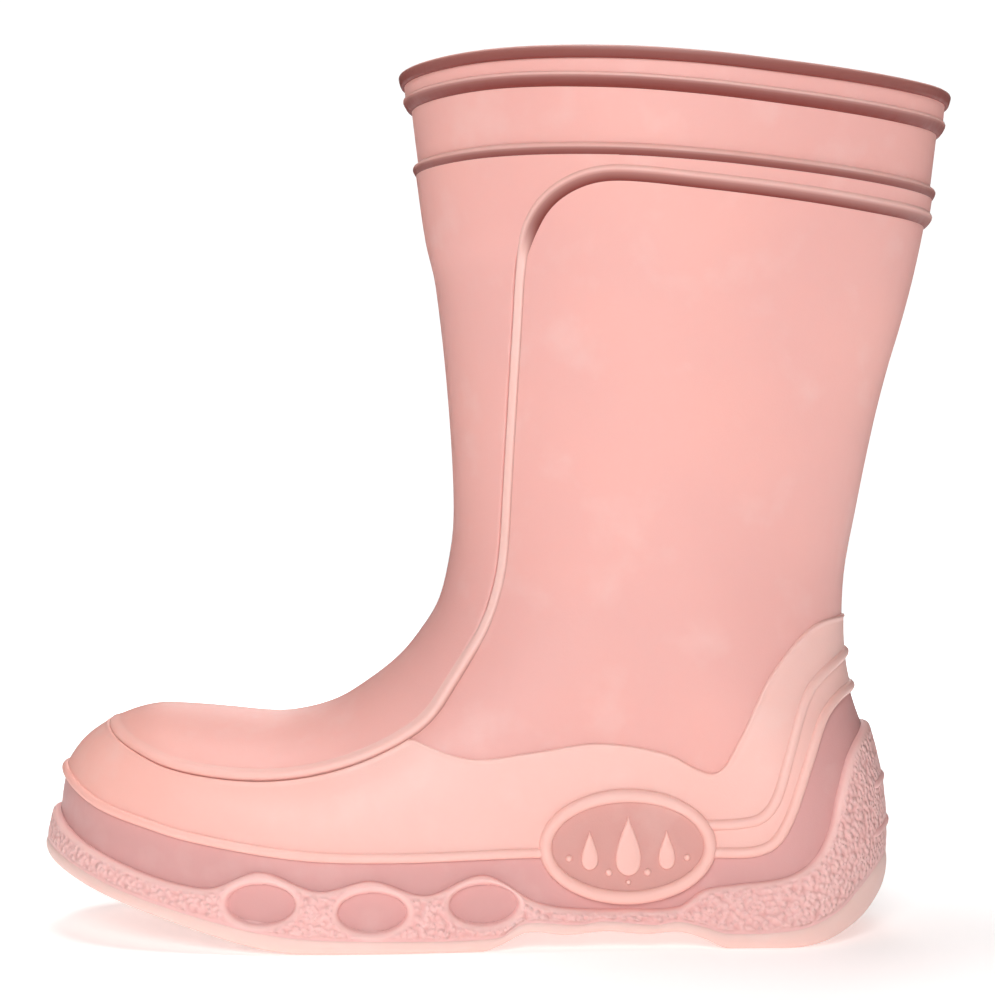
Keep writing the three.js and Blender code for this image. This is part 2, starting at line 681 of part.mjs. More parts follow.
// Sections of the lining: side-view lines from the top or shin to the floor or calf.
const SOCK_SECTIONS = [
  [-139.4, 62, -139.4, 30], [-137.8, 64, -137.8, 30], [-135, 66, -135, 28], [-130.5, 72, -130.5, 25],
  [-124, 76, -124, 20], [-116, 78, -116, 15], [-106, 80, -106, 10], [-94, 80, -94, 6],
  [-80, 80, -80, 2], [-66, 82, -66, 0], [-52, 86, -48, 0], [-42, 92, -30, 0], [-34, 100, -8, 3],
  [-29, 106, 16, 5], [-26, 111, 38, 7], [-23.5, 116, 58, 8], [-22, 120, 76, 9], [-21.5, 124, 92, 10],
  [-21, 127, 106, 12], [-20.8, 129, 118, 16], [-20.6, 132, 128, 24], [-20.4, 135, 131, 38],
  [-20.2, 139, 130, 56], [-20, 145, 127, 78], [-20, 154, 124, 102], [-20, 168, 127, 135],
  [-23, 192, 138, 174], [-29, 220, 149, 208], [-32, 248, 156, 240],
];

function liningSock() {
  const onFloor = ([x, z]) => Math.min(widthSquared(x, z), z - liningFloor(x));
  const sectionRow = ([x0, z0, x1, z1]) => {
    const line = Array.from({ length: 121 }, (_, i) => [lerp(x0, x1, i / 120), lerp(z0, z1, i / 120)]);
    return facets(cut(line, onFloor), SOCK_COLUMNS);
  };
  const rows = SOCK_SECTIONS.map(sectionRow);
  const top = raised(rimTop, -5.1);
  rows.push(levelRow(top, SOCK_COLUMNS, onLeg));
  const inHeel = ([x, z]) => smoothstep(x, 40, 56) * (1 - smoothstep(z, 76, 90));
  const outerDepth = (p) => lerp(LINING_OUT, COUNTER_IN - 3 * GAP, inHeel(p));
  const innerDepth = (p) => lerp(LINING_IN, LINING_IN - 2, inHeel(p));
  const loopOf = (row, depth, floorRise) => {
    const wall = (side) =>
      row.map((p) => {
        const at = skin(p, side, depth(p));
        return at.setZ(Math.max(at.z, liningFloor(at.x) + floorRise));
      });
    const [outside, inside] = [wall(LATERAL), wall(MEDIAL)];
    const middle = outside.at(-1).clone().lerp(inside.at(-1), 0.5);
    return [...outside, middle, ...inside.slice(1).reverse()];
  };
  const outer = rows.map((row) => loopOf(row, outerDepth, 0));
  const inner = rows.map((row) => loopOf(row, innerDepth, LINING_FLOOR));
  return sockSolid(outer, inner);
}

// Outer and inner loops, joined at the mouth and closed at the toe.
function sockSolid(outer, inner) {
  const columns = outer[0].length;
  const loops = [...[...outer].reverse(), ...inner].flat();
  const points = [...loops];
  const rowCount = outer.length;
  const triangles = [];
  const index = (j, i) => j * columns + (i % columns);
  const joinRows = (from, to) => {
    for (let j = from; j < to; j += 1) {
      for (let i = 0; i < columns; i += 1) {
        triangles.push(...quad(index(j, i), index(j, i + 1), index(j + 1, i + 1), index(j + 1, i)));
      }
    }
  };
  joinRows(0, rowCount - 1);
  joinRows(rowCount, 2 * rowCount - 1);
  for (let i = 0; i < columns; i += 1) {
    const [mouthOut, mouthIn] = [0, 2 * rowCount - 1];
    triangles.push(...quad(index(mouthIn, i), index(mouthIn, i + 1), index(mouthOut, i + 1), index(mouthOut, i)));
  }
  const cap = (row, flip) => {
    const middle = new THREE.Vector3();
    for (let i = 0; i < columns; i += 1) middle.addScaledVector(loops[index(row, i)], 1 / columns);
    points.push(middle);
    const centre = points.length - 1;
    for (let i = 0; i < columns; i += 1) {
      const pair = [index(row, i), index(row, i + 1)];
      triangles.push(flip ? [centre, pair[1], pair[0]] : [centre, ...pair]);
    }
  };
  cap(rowCount - 1, false);
  cap(rowCount, true);
  return geometryOf(points, triangles);
}

function heelStiffener() {
  const test = ([x, z]) => Math.min(onBoot([x, z]), x - 66);
  const rows = bandRows(raised(liningFloor, 4), () => 70, 5, 14, test, atTheEnd);
  return shell(rows, over, COUNTER_OUT, COUNTER_IN);
}

// ---- Badge -----------------------------------------------------------------------------------
const BADGE_CENTRE = [40.4, 31.5];
const BADGE_OUTER = [27.4, 17.6];
const BADGE_INNER = [23.8, 13.2];
const BADGE_LIFT = GALOSH_PROUD + GAP;

// Rings of side-view ellipse points round the badge's centre, as fractions of an ellipse.
function badgeLoop([halfX, halfZ], side, out, count = 24) {
  return Array.from({ length: count }, (_, i) => {
    const angle = (2 * Math.PI * i) / count;
    const point = [
      BADGE_CENTRE[0] + halfX * Math.cos(angle),
      BADGE_CENTRE[1] + halfZ * Math.sin(angle),
    ];
    return skin(point, side, out);
  });
}

function badgeRing(side) {
  const between = (share) => BADGE_OUTER.map((value, k) => lerp(BADGE_INNER[k], value, share));
  const section = [[1, 0], [1, 0.9], [0.72, 1.9], [0.28, 1.9], [0, 0.9], [0, 0]];
  const loops = section.map(([share, out]) => badgeLoop(between(share), side, BADGE_LIFT + out));
  return solidFromLoops(loops, true);
}

function badgePlate(side) {
  const size = BADGE_INNER.map((value) => value - GAP);
  const loops = [];
  const shares = [0.12, 0.55, 1];
  shares.forEach((share) => loops.push(badgeLoop(size.map((v) => v * share), side, BADGE_LIFT)));
  shares.reverse().forEach((share) =>
    loops.push(badgeLoop(size.map((v) => v * share), side, BADGE_LIFT + 1)),
  );
  const points = loops.flat();
  const columns = loops[0].length;
  const triangles = [];
  for (let j = 0; j < loops.length - 1; j += 1) {
    for (let i = 0; i < columns; i += 1) {
      const next = (i + 1) % columns;
      const [low, high] = [j * columns, (j + 1) * columns];
      triangles.push(...quad(low + i, low + next, high + next, high + i));
    }
  }
  const last = (loops.length - 1) * columns;
  for (let i = 1; i < columns - 1; i += 1) {
    triangles.push([0, i + 1, i], [last, last + i, last + i + 1]);
  }
  return geometryOf(points, triangles);
}

// ---- Assembly --------------------------------------------------------------------------------
const rubber = (color, roughness = 0.55) => ({ color, roughness, metalness: 0 });
const LOOKS = {
  upper: rubber("#f0bfb8"),
  panel: rubber("#f6b4ab"),
  bead: rubber("#f7c9bf"),
  rand: rubber("#d9a09c"),
  textured: rubber("#e8a8a8", 0.75),
  tread: rubber("#f8d2c8"),
  lining: rubber("#e9d3cf", 0.95),
  foam: rubber("#d8c8c2", 0.9),
  board: rubber("#b79a78", 0.9),
  filler: rubber("#8d7f7b", 0.9),
  steel: { color: "#9aa0a6", roughness: 0.35, metalness: 1 },
};

const boot = new THREE.Group();
function add(name, look, geometry) {
  const mesh = new THREE.Mesh(geometry, new THREE.MeshStandardMaterial(LOOKS[look]));
  mesh.name = name;
  boot.add(mesh);
}

add("rim_binding", "bead", rimBinding());
add("top_cuff", "upper", topCuff());
add("rib_upper", "bead", cuffRib(ribUpperLine));
add("rib_lower", "bead", cuffRib(ribLowerLine));
add("front_panel", "panel", frontPanel());
add("panel_bead", "bead", panelBead());
add("leg_shell", "upper", legShell());
add("galosh", "panel", galosh());
add("toe_bead", "bead", toeBead(12));
add("heel_strip_upper", "bead", heelStrip(heelUpperLine, 66.9));
add("heel_strip_lower", "bead", heelStrip(heelLowerLine, 68.6));
add("rand", "rand", rand());
add("outsole_wall", "textured", outsoleWall());
add("tread_sole", "tread", treadSole());
add("kick_ridge_upper", "textured", kickRidge(46, 51, 118));
add("kick_ridge_lower", "textured", kickRidge(30, 36, 116));
add("badge_ring_lateral", "bead", badgeRing(LATERAL));
add("badge_plate_lateral", "panel", badgePlate(LATERAL));
add("badge_ring_medial", "bead", badgeRing(MEDIAL));
add("badge_plate_medial", "panel", badgePlate(MEDIAL));
add("lining_sock", "lining", liningSock());
add("heel_stiffener", "board", heelStiffener());
add("insole", "foam", footPlate(insoleFloor, raised(insoleFloor, INSOLE_THICK), INSOLE_INSET, 24));
add("insole_board", "board", footPlate(floorLine, raised(floorLine, BOARD_THICK), FOOT_INSET, 24));
add("shank", "steel", shankStrip(0));
add("midsole", "filler", midsole());

// The origin is under the middle of the boot, on the ground.
const box = new THREE.Box3().setFromObject(boot);
const middle = box.getCenter(new THREE.Vector3());
boot.position.set(-middle.x, -middle.y, -box.min.z);

export default boot;
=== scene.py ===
"""A pink rubber wellington boot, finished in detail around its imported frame."""

import json
import math

import bpy
import numpy as np
from mathutils import Vector
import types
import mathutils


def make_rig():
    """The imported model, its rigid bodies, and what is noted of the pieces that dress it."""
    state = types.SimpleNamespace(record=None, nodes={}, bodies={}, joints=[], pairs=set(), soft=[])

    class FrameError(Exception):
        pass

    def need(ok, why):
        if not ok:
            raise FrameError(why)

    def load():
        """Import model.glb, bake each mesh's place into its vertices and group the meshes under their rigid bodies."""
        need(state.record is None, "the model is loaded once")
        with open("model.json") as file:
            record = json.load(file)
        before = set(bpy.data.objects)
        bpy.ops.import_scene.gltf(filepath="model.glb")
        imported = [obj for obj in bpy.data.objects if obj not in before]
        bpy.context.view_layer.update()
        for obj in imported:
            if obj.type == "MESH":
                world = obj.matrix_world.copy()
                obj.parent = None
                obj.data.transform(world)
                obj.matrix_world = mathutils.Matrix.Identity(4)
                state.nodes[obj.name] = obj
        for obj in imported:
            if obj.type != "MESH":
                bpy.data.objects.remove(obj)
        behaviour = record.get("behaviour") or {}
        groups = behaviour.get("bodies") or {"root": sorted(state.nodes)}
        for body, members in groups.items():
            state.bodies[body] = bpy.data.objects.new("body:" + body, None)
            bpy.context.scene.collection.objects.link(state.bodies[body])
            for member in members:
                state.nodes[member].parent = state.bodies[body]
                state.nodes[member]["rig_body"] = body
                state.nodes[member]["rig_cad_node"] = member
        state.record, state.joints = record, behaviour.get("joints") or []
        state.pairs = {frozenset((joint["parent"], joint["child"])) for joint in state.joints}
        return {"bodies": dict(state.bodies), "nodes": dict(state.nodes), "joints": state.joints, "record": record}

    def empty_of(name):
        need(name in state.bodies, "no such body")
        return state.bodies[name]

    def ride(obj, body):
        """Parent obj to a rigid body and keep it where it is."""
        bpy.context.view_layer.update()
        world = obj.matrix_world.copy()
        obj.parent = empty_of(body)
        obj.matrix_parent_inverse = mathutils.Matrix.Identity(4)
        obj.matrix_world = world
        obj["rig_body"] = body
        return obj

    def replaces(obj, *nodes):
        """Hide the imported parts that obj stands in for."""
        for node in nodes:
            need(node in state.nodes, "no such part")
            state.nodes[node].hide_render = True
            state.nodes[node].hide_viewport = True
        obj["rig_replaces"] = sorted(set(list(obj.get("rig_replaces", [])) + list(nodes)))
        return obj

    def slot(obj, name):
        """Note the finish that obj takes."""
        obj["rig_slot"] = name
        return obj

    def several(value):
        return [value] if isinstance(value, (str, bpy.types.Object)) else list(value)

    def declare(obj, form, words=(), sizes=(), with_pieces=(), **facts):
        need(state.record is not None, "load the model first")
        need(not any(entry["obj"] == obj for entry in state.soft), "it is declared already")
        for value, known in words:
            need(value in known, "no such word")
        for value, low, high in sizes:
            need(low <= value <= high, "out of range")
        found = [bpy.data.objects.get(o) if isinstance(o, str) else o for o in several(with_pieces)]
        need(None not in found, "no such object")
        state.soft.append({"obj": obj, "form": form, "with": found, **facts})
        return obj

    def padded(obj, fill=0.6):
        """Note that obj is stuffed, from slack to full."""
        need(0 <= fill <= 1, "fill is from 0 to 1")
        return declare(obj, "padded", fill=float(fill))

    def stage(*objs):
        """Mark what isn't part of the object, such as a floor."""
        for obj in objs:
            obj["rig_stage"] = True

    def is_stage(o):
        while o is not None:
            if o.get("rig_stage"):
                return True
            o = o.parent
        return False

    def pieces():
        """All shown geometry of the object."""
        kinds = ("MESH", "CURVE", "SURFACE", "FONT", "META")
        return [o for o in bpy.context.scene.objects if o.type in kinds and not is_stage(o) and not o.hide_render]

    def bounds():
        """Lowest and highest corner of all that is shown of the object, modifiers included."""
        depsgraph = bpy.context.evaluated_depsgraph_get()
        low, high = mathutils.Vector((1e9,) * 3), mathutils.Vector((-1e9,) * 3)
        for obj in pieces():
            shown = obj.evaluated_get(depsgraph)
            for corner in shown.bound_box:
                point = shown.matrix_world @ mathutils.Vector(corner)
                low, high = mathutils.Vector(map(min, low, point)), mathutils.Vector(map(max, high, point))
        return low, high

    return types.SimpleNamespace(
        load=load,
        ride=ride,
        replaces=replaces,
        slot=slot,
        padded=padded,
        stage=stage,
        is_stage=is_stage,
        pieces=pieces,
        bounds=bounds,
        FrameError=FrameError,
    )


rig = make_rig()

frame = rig.load()
CAD_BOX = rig.bounds()

bl_info = {
    "name": "Wellington boot",
    "version": (1, 0, 0),
    "blender": (4, 5, 0),
    "location": "View3D > Sidebar > Boot",
    "description": "Builds a moulded rubber boot piece by piece around its frame",
    "category": "Object",
}

BODY = "root"
LATERAL, MEDIAL = -1, 1
SKIN_SHIFT = 0.40958  # mm from the skin's own origin to the frame's, along X
UNDER_SKIN = 2.6  # mm, the rubber's thickness below the skin
SUNK = -0.6  # mm, how deep a bead's foot lies below the skin

# ---- Curves, in millimetres over the side view (x, z)


def lerp(a, b, share):
    return a + (b - a) * share


def smoothstep(value, low, high):
    t = np.clip((value - low) / (high - low), 0, 1)
    return t * t * (3 - 2 * t)


def through(*knots):
    """A smooth function of one number through its knots, straight beyond the ends."""
    x, y = np.array(knots, float).T
    after, before = np.r_[1:len(x), len(x) - 1], np.r_[0, 0:len(x) - 1]
    slope = (y[after] - y[before]) / (x[after] - x[before])

    def value(u):
        u = np.asarray(u, float)
        i = np.clip(np.searchsorted(x, u, side="right") - 1, 0, len(x) - 2)
        span = x[i + 1] - x[i]
        t = np.clip((u - x[i]) / span, 0, 1)
        inner = lerp(y[i], y[i + 1], t * t * (3 - 2 * t))
        inner = inner + span * t * (1 - t) * (slope[i] * (1 - t) - slope[i + 1] * t)
        beyond = slope[0] * np.minimum(u - x[0], 0) + slope[-1] * np.maximum(u - x[-1], 0)
        return inner + beyond

    return value


def soft_line(points, soften=1.6, step=0.5):
    """Evenly spaced points of the smooth side-view line through the given ones."""
    p = np.array(points, float)
    p = np.vstack([2 * p[0] - p[1], p, 2 * p[-1] - p[-2]])
    t = np.linspace(0, 1, 40, endpoint=False)[:, None]
    parts = []
    for a, b, c, d in zip(p[:-3], p[1:-2], p[2:-1], p[3:]):
        parts.append(
            0.5 * (2 * b + (c - a) * t + (2 * a - 5 * b + 4 * c - d) * t**2
                   + (3 * b - a - 3 * c + d) * t**3))
    dense = np.vstack([*parts, p[-2][None]])
    length = np.r_[0, np.cumsum(np.linalg.norm(np.diff(dense, axis=0), axis=1))]
    at = np.linspace(0, length[-1], int(length[-1] / step) + 1)
    line = np.column_stack([np.interp(at, length, dense[:, k]) for k in (0, 1)])
    reach = int(3 * soften / step)
    weights = np.exp(-0.5 * (np.arange(-reach, reach + 1) * step / soften) ** 2)
    weights /= weights.sum()
    before, after = 2 * line[0] - line[reach:0:-1], 2 * line[-1] - line[-2:-reach - 2:-1]
    padded = np.vstack([before, line, after])
    return np.column_stack([np.convolve(padded[:, k], weights, "valid") for k in (0, 1)])


def beside(line, shift):
    """The line moved to its left by a distance."""
    along = np.gradient(line, axis=0)
    along /= np.linalg.norm(along, axis=1)[:, None]
    return line + shift * np.column_stack([-along[:, 1], along[:, 0]])


def height_of(line):
    """Height over x of a side-view line that runs towards +x."""
    forward = np.r_[True, line[1:, 0] > np.maximum.accumulate(line[:, 0])[:-1] + 1e-6]
    x, z = line[forward].T
    first = (z[3] - z[0]) / (x[3] - x[0])
    last = (z[-1] - z[-4]) / (x[-1] - x[-4])

    def value(u):
        u = np.asarray(u, float)
        beyond = first * np.minimum(u - x[0], 0) + last * np.maximum(u - x[-1], 0)
        return np.interp(u, x, z) + beyond

    return value


def raised(level, by):
    return lambda x: level(x) + by


# ---- The skin: one smooth surface that every piece follows
FAN = [
    (-142, -6, -100, -6), (-143.5, 14, -100, 14), (-145, 24, -100, 22), (-145.6, 29, -100, 27),
    (-144.6, 34, -100, 31), (-143.5, 39, -99.5, 34), (-142.8, 45, -99, 36),
    (-141.2, 52, -98, 37.5), (-137.5, 58.2, -97, 38.5), (-132.6, 63, -96, 39),
    (-124, 68, -95, 39), (-114, 70.8, -92, 38), (-104, 71, -87, 36.5), (-89, 70, -77, 34.5),
    (-74.6, 68.8, -66, 32.5), (-65, 69.4, -57, 31.5), (-54, 72.3, -46, 31), (-45, 77.1, -35, 31.5),
    (-32, 87, -16, 36), (-24, 97.4, 2, 46), (-18.6, 107.6, 18, 62), (-15.2, 122.6, 34, 88),
    (-14.1, 136, 43, 112), (-15, 159, 49, 145), (-17.3, 186.5, 52, 176), (-20.3, 211, 54, 204),
    (-23.6, 231, 56, 226), (-27.4, 260, 57.5, 257), (-29.2, 277, 58.5, 276),
    (-30.4, 293, 59, 293),
]
FAN_STEPS = 8
FRONT_POWER = 2.1
FAR_OUTSIDE = -0.6
SOLE_FLARE = 0.05
back_edge = through(
    (-6, 121), (5, 122), (14, 123), (24, 124.2), (34, 124.5), (44, 123.9), (54, 122.2),
    (64, 119.6), (73, 116.4), (83, 113.8), (93, 112.6), (106, 112.6), (118, 113.6),
    (137, 117.2), (152, 120.2), (167, 123.5), (182, 127.4), (196, 131.6), (211, 135.6),
    (231, 139.8), (250, 142.4), (271, 144.8), (293, 147))
back_reach = through((0, 34), (30, 35), (50, 38), (80, 50), (130, 64), (211, 80), (275, 88))
foot_width = through(
    (-148, 40), (-130, 42), (-110, 43.5), (-90, 46), (-70, 47.5), (-50, 47), (-30, 45),
    (-10, 42), (10, 39.5), (30, 38), (60, 37), (127, 37))
leg_width = through(
    (40, 40), (90, 40.5), (110, 41), (135, 42.5), (160, 45.5), (200, 50), (240, 54), (293, 58.5))
toe_turn = through((-148, 7), (-110, 4.5), (-70, 1), (-30, -1), (10, -2), (60, -1), (120, 0))


def fan_lines():
    parts = [through(*((i, line[k]) for i, line in enumerate(FAN))) for k in range(4)]
    at = np.arange((len(FAN) - 1) * FAN_STEPS + 1) / FAN_STEPS
    return np.column_stack([part(at) for part in parts])


def front_share(x, z):
    """0 at the front edge, 1 from the widest line inwards, negative outside."""
    share = np.ones_like(x)
    found = np.zeros(x.shape, bool)
    cross_before, length_before, before = np.full(x.shape, -np.inf), 1.0, None
    for line in fan_lines():
        tx, tz, mx, mz = line
        length = math.hypot(mx - tx, mz - tz)
        cross = ((mx - tx) * (z - tz) - (mz - tz) * (x - tx)) / length
        here = (cross_before >= 0) & (cross < 0) & ~found
        if before is not None and here.any():
            t = cross_before[here] / (cross_before[here] - cross[here])
            ax, az, bx, bz = (lerp(b, n, t) for b, n in zip(before, line))
            reach = lerp(length_before, length, t)
            along = ((x[here] - ax) * (bx - ax) + (z[here] - az) * (bz - az)) / reach**2
            value = np.where(along < 1, np.maximum(along, FAR_OUTSIDE), 1)
            share[here] = value
            found[here] = value < 1
        cross_before, length_before, before = cross, length, line
    return share


def centre_line(x, z):
    return toe_turn(x) * (1 - smoothstep(z, 70, 110))


GRID_FROM, GRID_TO = (-166, -16), (168, 308)  # mm, the side view's corners


def width_grid():
    """Square of the skin's half-width on a 1 mm grid over the side view."""
    x, z = np.meshgrid(*(np.arange(a, b + 1.0) for a, b in zip(GRID_FROM, GRID_TO)), indexing="ij")
    front = 1 - np.abs(1 - front_share(x, z)) ** FRONT_POWER
    share = (back_edge(z) - x) / back_reach(z)
    back = np.where(share >= 1, 1, 1 - (1 - share) ** 2)
    flare = 1 + SOLE_FLARE * (1 - smoothstep(z, 8, 44))
    body = lerp(foot_width(x) ** 2, leg_width(z) ** 2, smoothstep(z, 45, 110))
    grid = body * flare**2 * np.minimum(front, 1) * back
    for _ in range(3):
        for axis in (0, 1):
            up, down = np.roll(grid, 1, axis), np.roll(grid, -1, axis)
            grid = 0.25 * up + 0.5 * grid + 0.25 * down
    return grid


WIDTHS = width_grid()


def width_and_slopes(x, z):
    """The square of the half-width at side-view points, and its slopes along x and z."""
    u = np.clip(x - GRID_FROM[0], 2, WIDTHS.shape[0] - 4)
    v = np.clip(z - GRID_FROM[1], 2, WIDTHS.shape[1] - 4)
    i, j = np.floor(u).astype(int), np.floor(v).astype(int)

    def weights(t):
        value = (-t + 2 * t**2 - t**3, 2 - 5 * t**2 + 3 * t**3,
                 t + 4 * t**2 - 3 * t**3, t**3 - t**2)
        slope = (-1 + 4 * t - 3 * t**2, 9 * t**2 - 10 * t,
                 1 + 8 * t - 9 * t**2, 3 * t**2 - 2 * t)
        return [0.5 * w for w in value], [0.5 * w for w in slope]

    (wx, dx), (wz, dz) = weights(u - i), weights(v - j)
    total, along_x, along_z = 0, 0, 0
    for a in range(4):
        for b in range(4):
            node = WIDTHS[i + a - 1, j + b - 1]
            total = total + wx[a] * wz[b] * node
            along_x = along_x + dx[a] * wz[b] * node
            along_z = along_z + wx[a] * dz[b] * node
    return total, along_x, along_z


def inside(x, z):
    return width_and_slopes(x, z)[0]


def skin(x, z, side, out=0.0, level=False):
    """Points of the skin on one side, moved out along its normal, or level if asked."""
    x, z = np.broadcast_arrays(np.asarray(x, float), np.asarray(z, float))
    square, along_x, along_z = width_and_slopes(x, z)
    half = side * np.sqrt(np.maximum(square, 0))
    step = 0.4
    turn_x = (centre_line(x + step, z) - centre_line(x - step, z)) / (2 * step)
    turn_z = (centre_line(x, z + step) - centre_line(x, z - step)) / (2 * step)
    normal = np.stack(
        [-along_x - 2 * half * turn_x, 2 * half, -along_z - 2 * half * turn_z], axis=-1)
    if level:
        normal[..., 2] = 0
    normal /= np.linalg.norm(normal, axis=-1)[..., None]
    foot = np.stack([x, centre_line(x, z) + half, z], axis=-1)
    return foot + normal * np.broadcast_to(np.asarray(out, float), x.shape)[..., None]


# ---- Rows of points over the side view
both_ends = lambda count: (1 - np.cos(np.pi * np.linspace(0, 1, count + 1))) / 2
far_end = lambda count: np.sin(np.pi / 2 * np.linspace(0, 1, count + 1))


def longest_run(test, start, stop, count=900):
    """The ends of the longest stretch between start and stop on which the test is positive."""
    scan = np.linspace(start, stop, count + 1)
    good = np.r_[False, test(scan) > 0, False].astype(int)
    begins, ends = np.where(np.diff(good) == 1)[0], np.where(np.diff(good) == -1)[0] - 1
    if not len(begins):
        raise ValueError("a row of the boot lies outside it")
    k = np.argmax(ends - begins)
    step = scan[1] - scan[0]
    near = np.array([scan[begins[k]], scan[ends[k]]])
    far = near + step * np.array([-1, 1])
    for _ in range(24):
        middle = (near + far) / 2
        fits = test(middle) > 0
        near, far = np.where(fits, middle, near), np.where(fits, far, middle)
    return near


def level_rows(levels, shares, region=None):
    """Side-view rows that follow level functions from the front end of each to its back end."""
    rows = []
    for level in levels:
        def test(x, level=level):
            z = level(x)
            return inside(x, z) if region is None else np.minimum(inside(x, z), region(x, z))
        a, b = longest_run(test, -150, 150)
        x = lerp(a, b, shares)
        rows.append((x, level(x)))
    return np.array([r[0] for r in rows]), np.array([r[1] for r in rows])


def between(low, high, shares):
    return [lambda x, s=s: lerp(low(x), high(x), s) for s in shares]


def around(x, z, out, level=False):
    """Full loops: out along the lateral side and back along the medial side."""
    out = np.broadcast_to(out, x.shape)
    a = skin(x, z, LATERAL, out, level)
    b = skin(x[:, -2:0:-1], z[:, -2:0:-1], MEDIAL, out[:, -2:0:-1], level)
    return np.concatenate([a, b], axis=1)


def over(x, z, out):
    """Open rows from an edge on the lateral side, over the silhouette, to the medial edge."""
    out = np.broadcast_to(out, x.shape)
    a = skin(x, z, LATERAL, out)
    b = skin(x[:, -2::-1], z[:, -2::-1], MEDIAL, out[:, -2::-1])
    return np.concatenate([a, b], axis=1)


# ---- Meshes


def mark_points(mesh, mark, numbers):
    attribute = mesh.attributes.new(mark, "FLOAT", "POINT")
    attribute.data.foreach_set("value", np.asarray(numbers, np.float32).ravel())


def make_object(name, points, faces, material, marks=None, sharp=50):
    """A smooth closed mesh from points in millimetres, with its faces turned outwards."""
    points = np.asarray(points, float)
    corners = points[faces[:, :4]]
    a, b, c, d = (corners[:, k] for k in range(4))
    volume = sum(np.einsum("ij,ij", a, np.cross(*pair)) for pair in ((b, c), (c, d)))
    if volume < 0:
        faces = faces[:, ::-1]
    mesh = bpy.data.meshes.new(name)
    moved = (points + [SKIN_SHIFT, 0, 0]) / 1000
    lists = [list(dict.fromkeys(face)) for face in faces.tolist()]
    mesh.from_pydata(moved.tolist(), [], [face for face in lists if len(face) > 2])
    for mark, values in (marks or {}).items():
        mark_points(mesh, mark, values)
    mesh.materials.append(material)
    obj = bpy.data.objects.new(name, mesh)
    bpy.context.scene.collection.objects.link(obj)
    tidy_mesh(mesh, sharp)
    return obj


def tidy_mesh(mesh, sharp=50):
    """Merges doubled points, drops flat faces and shades the mesh smooth."""
    import bmesh
    work = bmesh.new()
    work.from_mesh(mesh)
    bmesh.ops.remove_doubles(work, verts=work.verts, dist=2e-6)
    bmesh.ops.dissolve_degenerate(work, edges=work.edges, dist=1e-6)
    work.to_mesh(mesh)
    work.free()
    mesh.shade_smooth()
    mesh.set_sharp_from_angle(angle=math.radians(sharp))
    mesh.validate()


def grid_faces(loops, columns, closed_loops, closed_columns):
    rows = loops if closed_loops else loops - 1
    cells = columns if closed_columns else columns - 1
    j, i = np.meshgrid(np.arange(rows), np.arange(cells), indexing="ij")
    j2, i2 = (j + 1) % loops, (i + 1) % columns
    quads = [j * columns + i, j * columns + i2, j2 * columns + i2, j2 * columns + i]
    return np.stack(quads, axis=-1).reshape(-1, 4)


def ladder(first, columns, flip):
    """Rungs across a full loop, from its lateral half to its medial half."""
    half = columns // 2
    i = np.arange(half)
    rungs = [first + i, first + i + 1, first + (columns - i - 1) % columns,
             first + (columns - i) % columns]
    quads = np.stack(rungs, axis=-1)
    return quads[:, ::-1] if flip else quads


def ring_shell(loops):
    """A shell that closes on itself both ways, from loops once round its section."""
    count, columns = loops.shape[:2]
    return loops.reshape(-1, 3), grid_faces(count, columns, True, True)


def backed_shell(x, z, outer, step, depth=UNDER_SKIN, **marks):
    """Outer loops closed by every so many of their rows at a depth, with one side's marks."""
    inner = around(x[::-step], z[::-step], -depth)
    carried = {}
    for name, mark in marks.items():
        mirrored = np.concatenate([mark, mark[:, -2:0:-1]], axis=1)
        carried[name] = np.concatenate([mirrored, np.zeros(inner.shape[:2])])
    return (*ring_shell(np.concatenate([outer, inner])), carried)


def strip_shell(outer, inner):
    """A shell with two free ends, from matching outer and inner rows."""
    loops = np.concatenate([outer, inner[::-1]])
    count, columns = loops.shape[:2]
    faces = [grid_faces(count, columns, True, False)]
    j = np.arange(count // 2 - 1)
    other = count - 1 - j
    for end, order in ((0, 1), (columns - 1, -1)):
        caps = [j, j + 1, other - 1, other][::order]
        faces.append(np.stack([c * columns + end for c in caps], axis=-1))
    return loops.reshape(-1, 3), np.concatenate(faces)


def stack_solid(loops):
    """A solid from full loops one above another, closed across at both ends."""
    count, columns = loops.shape[:2]
    faces = [grid_faces(count, columns, False, True), ladder(0, columns, True),
             ladder((count - 1) * columns, columns, False)]
    return loops.reshape(-1, 3), np.concatenate(faces)


def dome_solid(loops):
    """A solid from small loops, each end closed on a middle point."""
    count, columns = loops.shape[:2]
    faces = [grid_faces(count, columns, False, True)]
    middles = np.stack([loops[0].mean(0), loops[-1].mean(0)])
    i = np.arange(columns)
    low, high = count * columns, count * columns + 1
    top = (count - 1) * columns
    faces.append(np.stack([(i + 1) % columns, i, np.full(columns, low), np.full(columns, low)], -1))
    faces.append(np.stack(
        [top + i, top + (i + 1) % columns, np.full(columns, high), np.full(columns, high)], -1))
    return np.concatenate([loops.reshape(-1, 3), middles]), np.concatenate(faces)


def value_noise(points, scale, seed):
    """Smooth noise between 0 and 1 over points in millimetres."""
    p = points * scale
    cell = np.floor(p).astype(np.int64)
    f = p - cell
    f = f * f * (3 - 2 * f)
    total = np.zeros(len(points))
    for corner in range(8):
        bit = np.array([corner & 1, corner >> 1 & 1, corner >> 2 & 1])
        n = (cell + bit) @ np.array([73856093, 19349663, 83492791]) + seed * 2654435761
        n = (n ^ (n >> 13)) * 1274126177 % 4294967296
        n = (n ^ (n >> 16)) % 65536 / 65535
        total += n * np.prod(np.where(bit, f, 1 - f), axis=1)
    return total


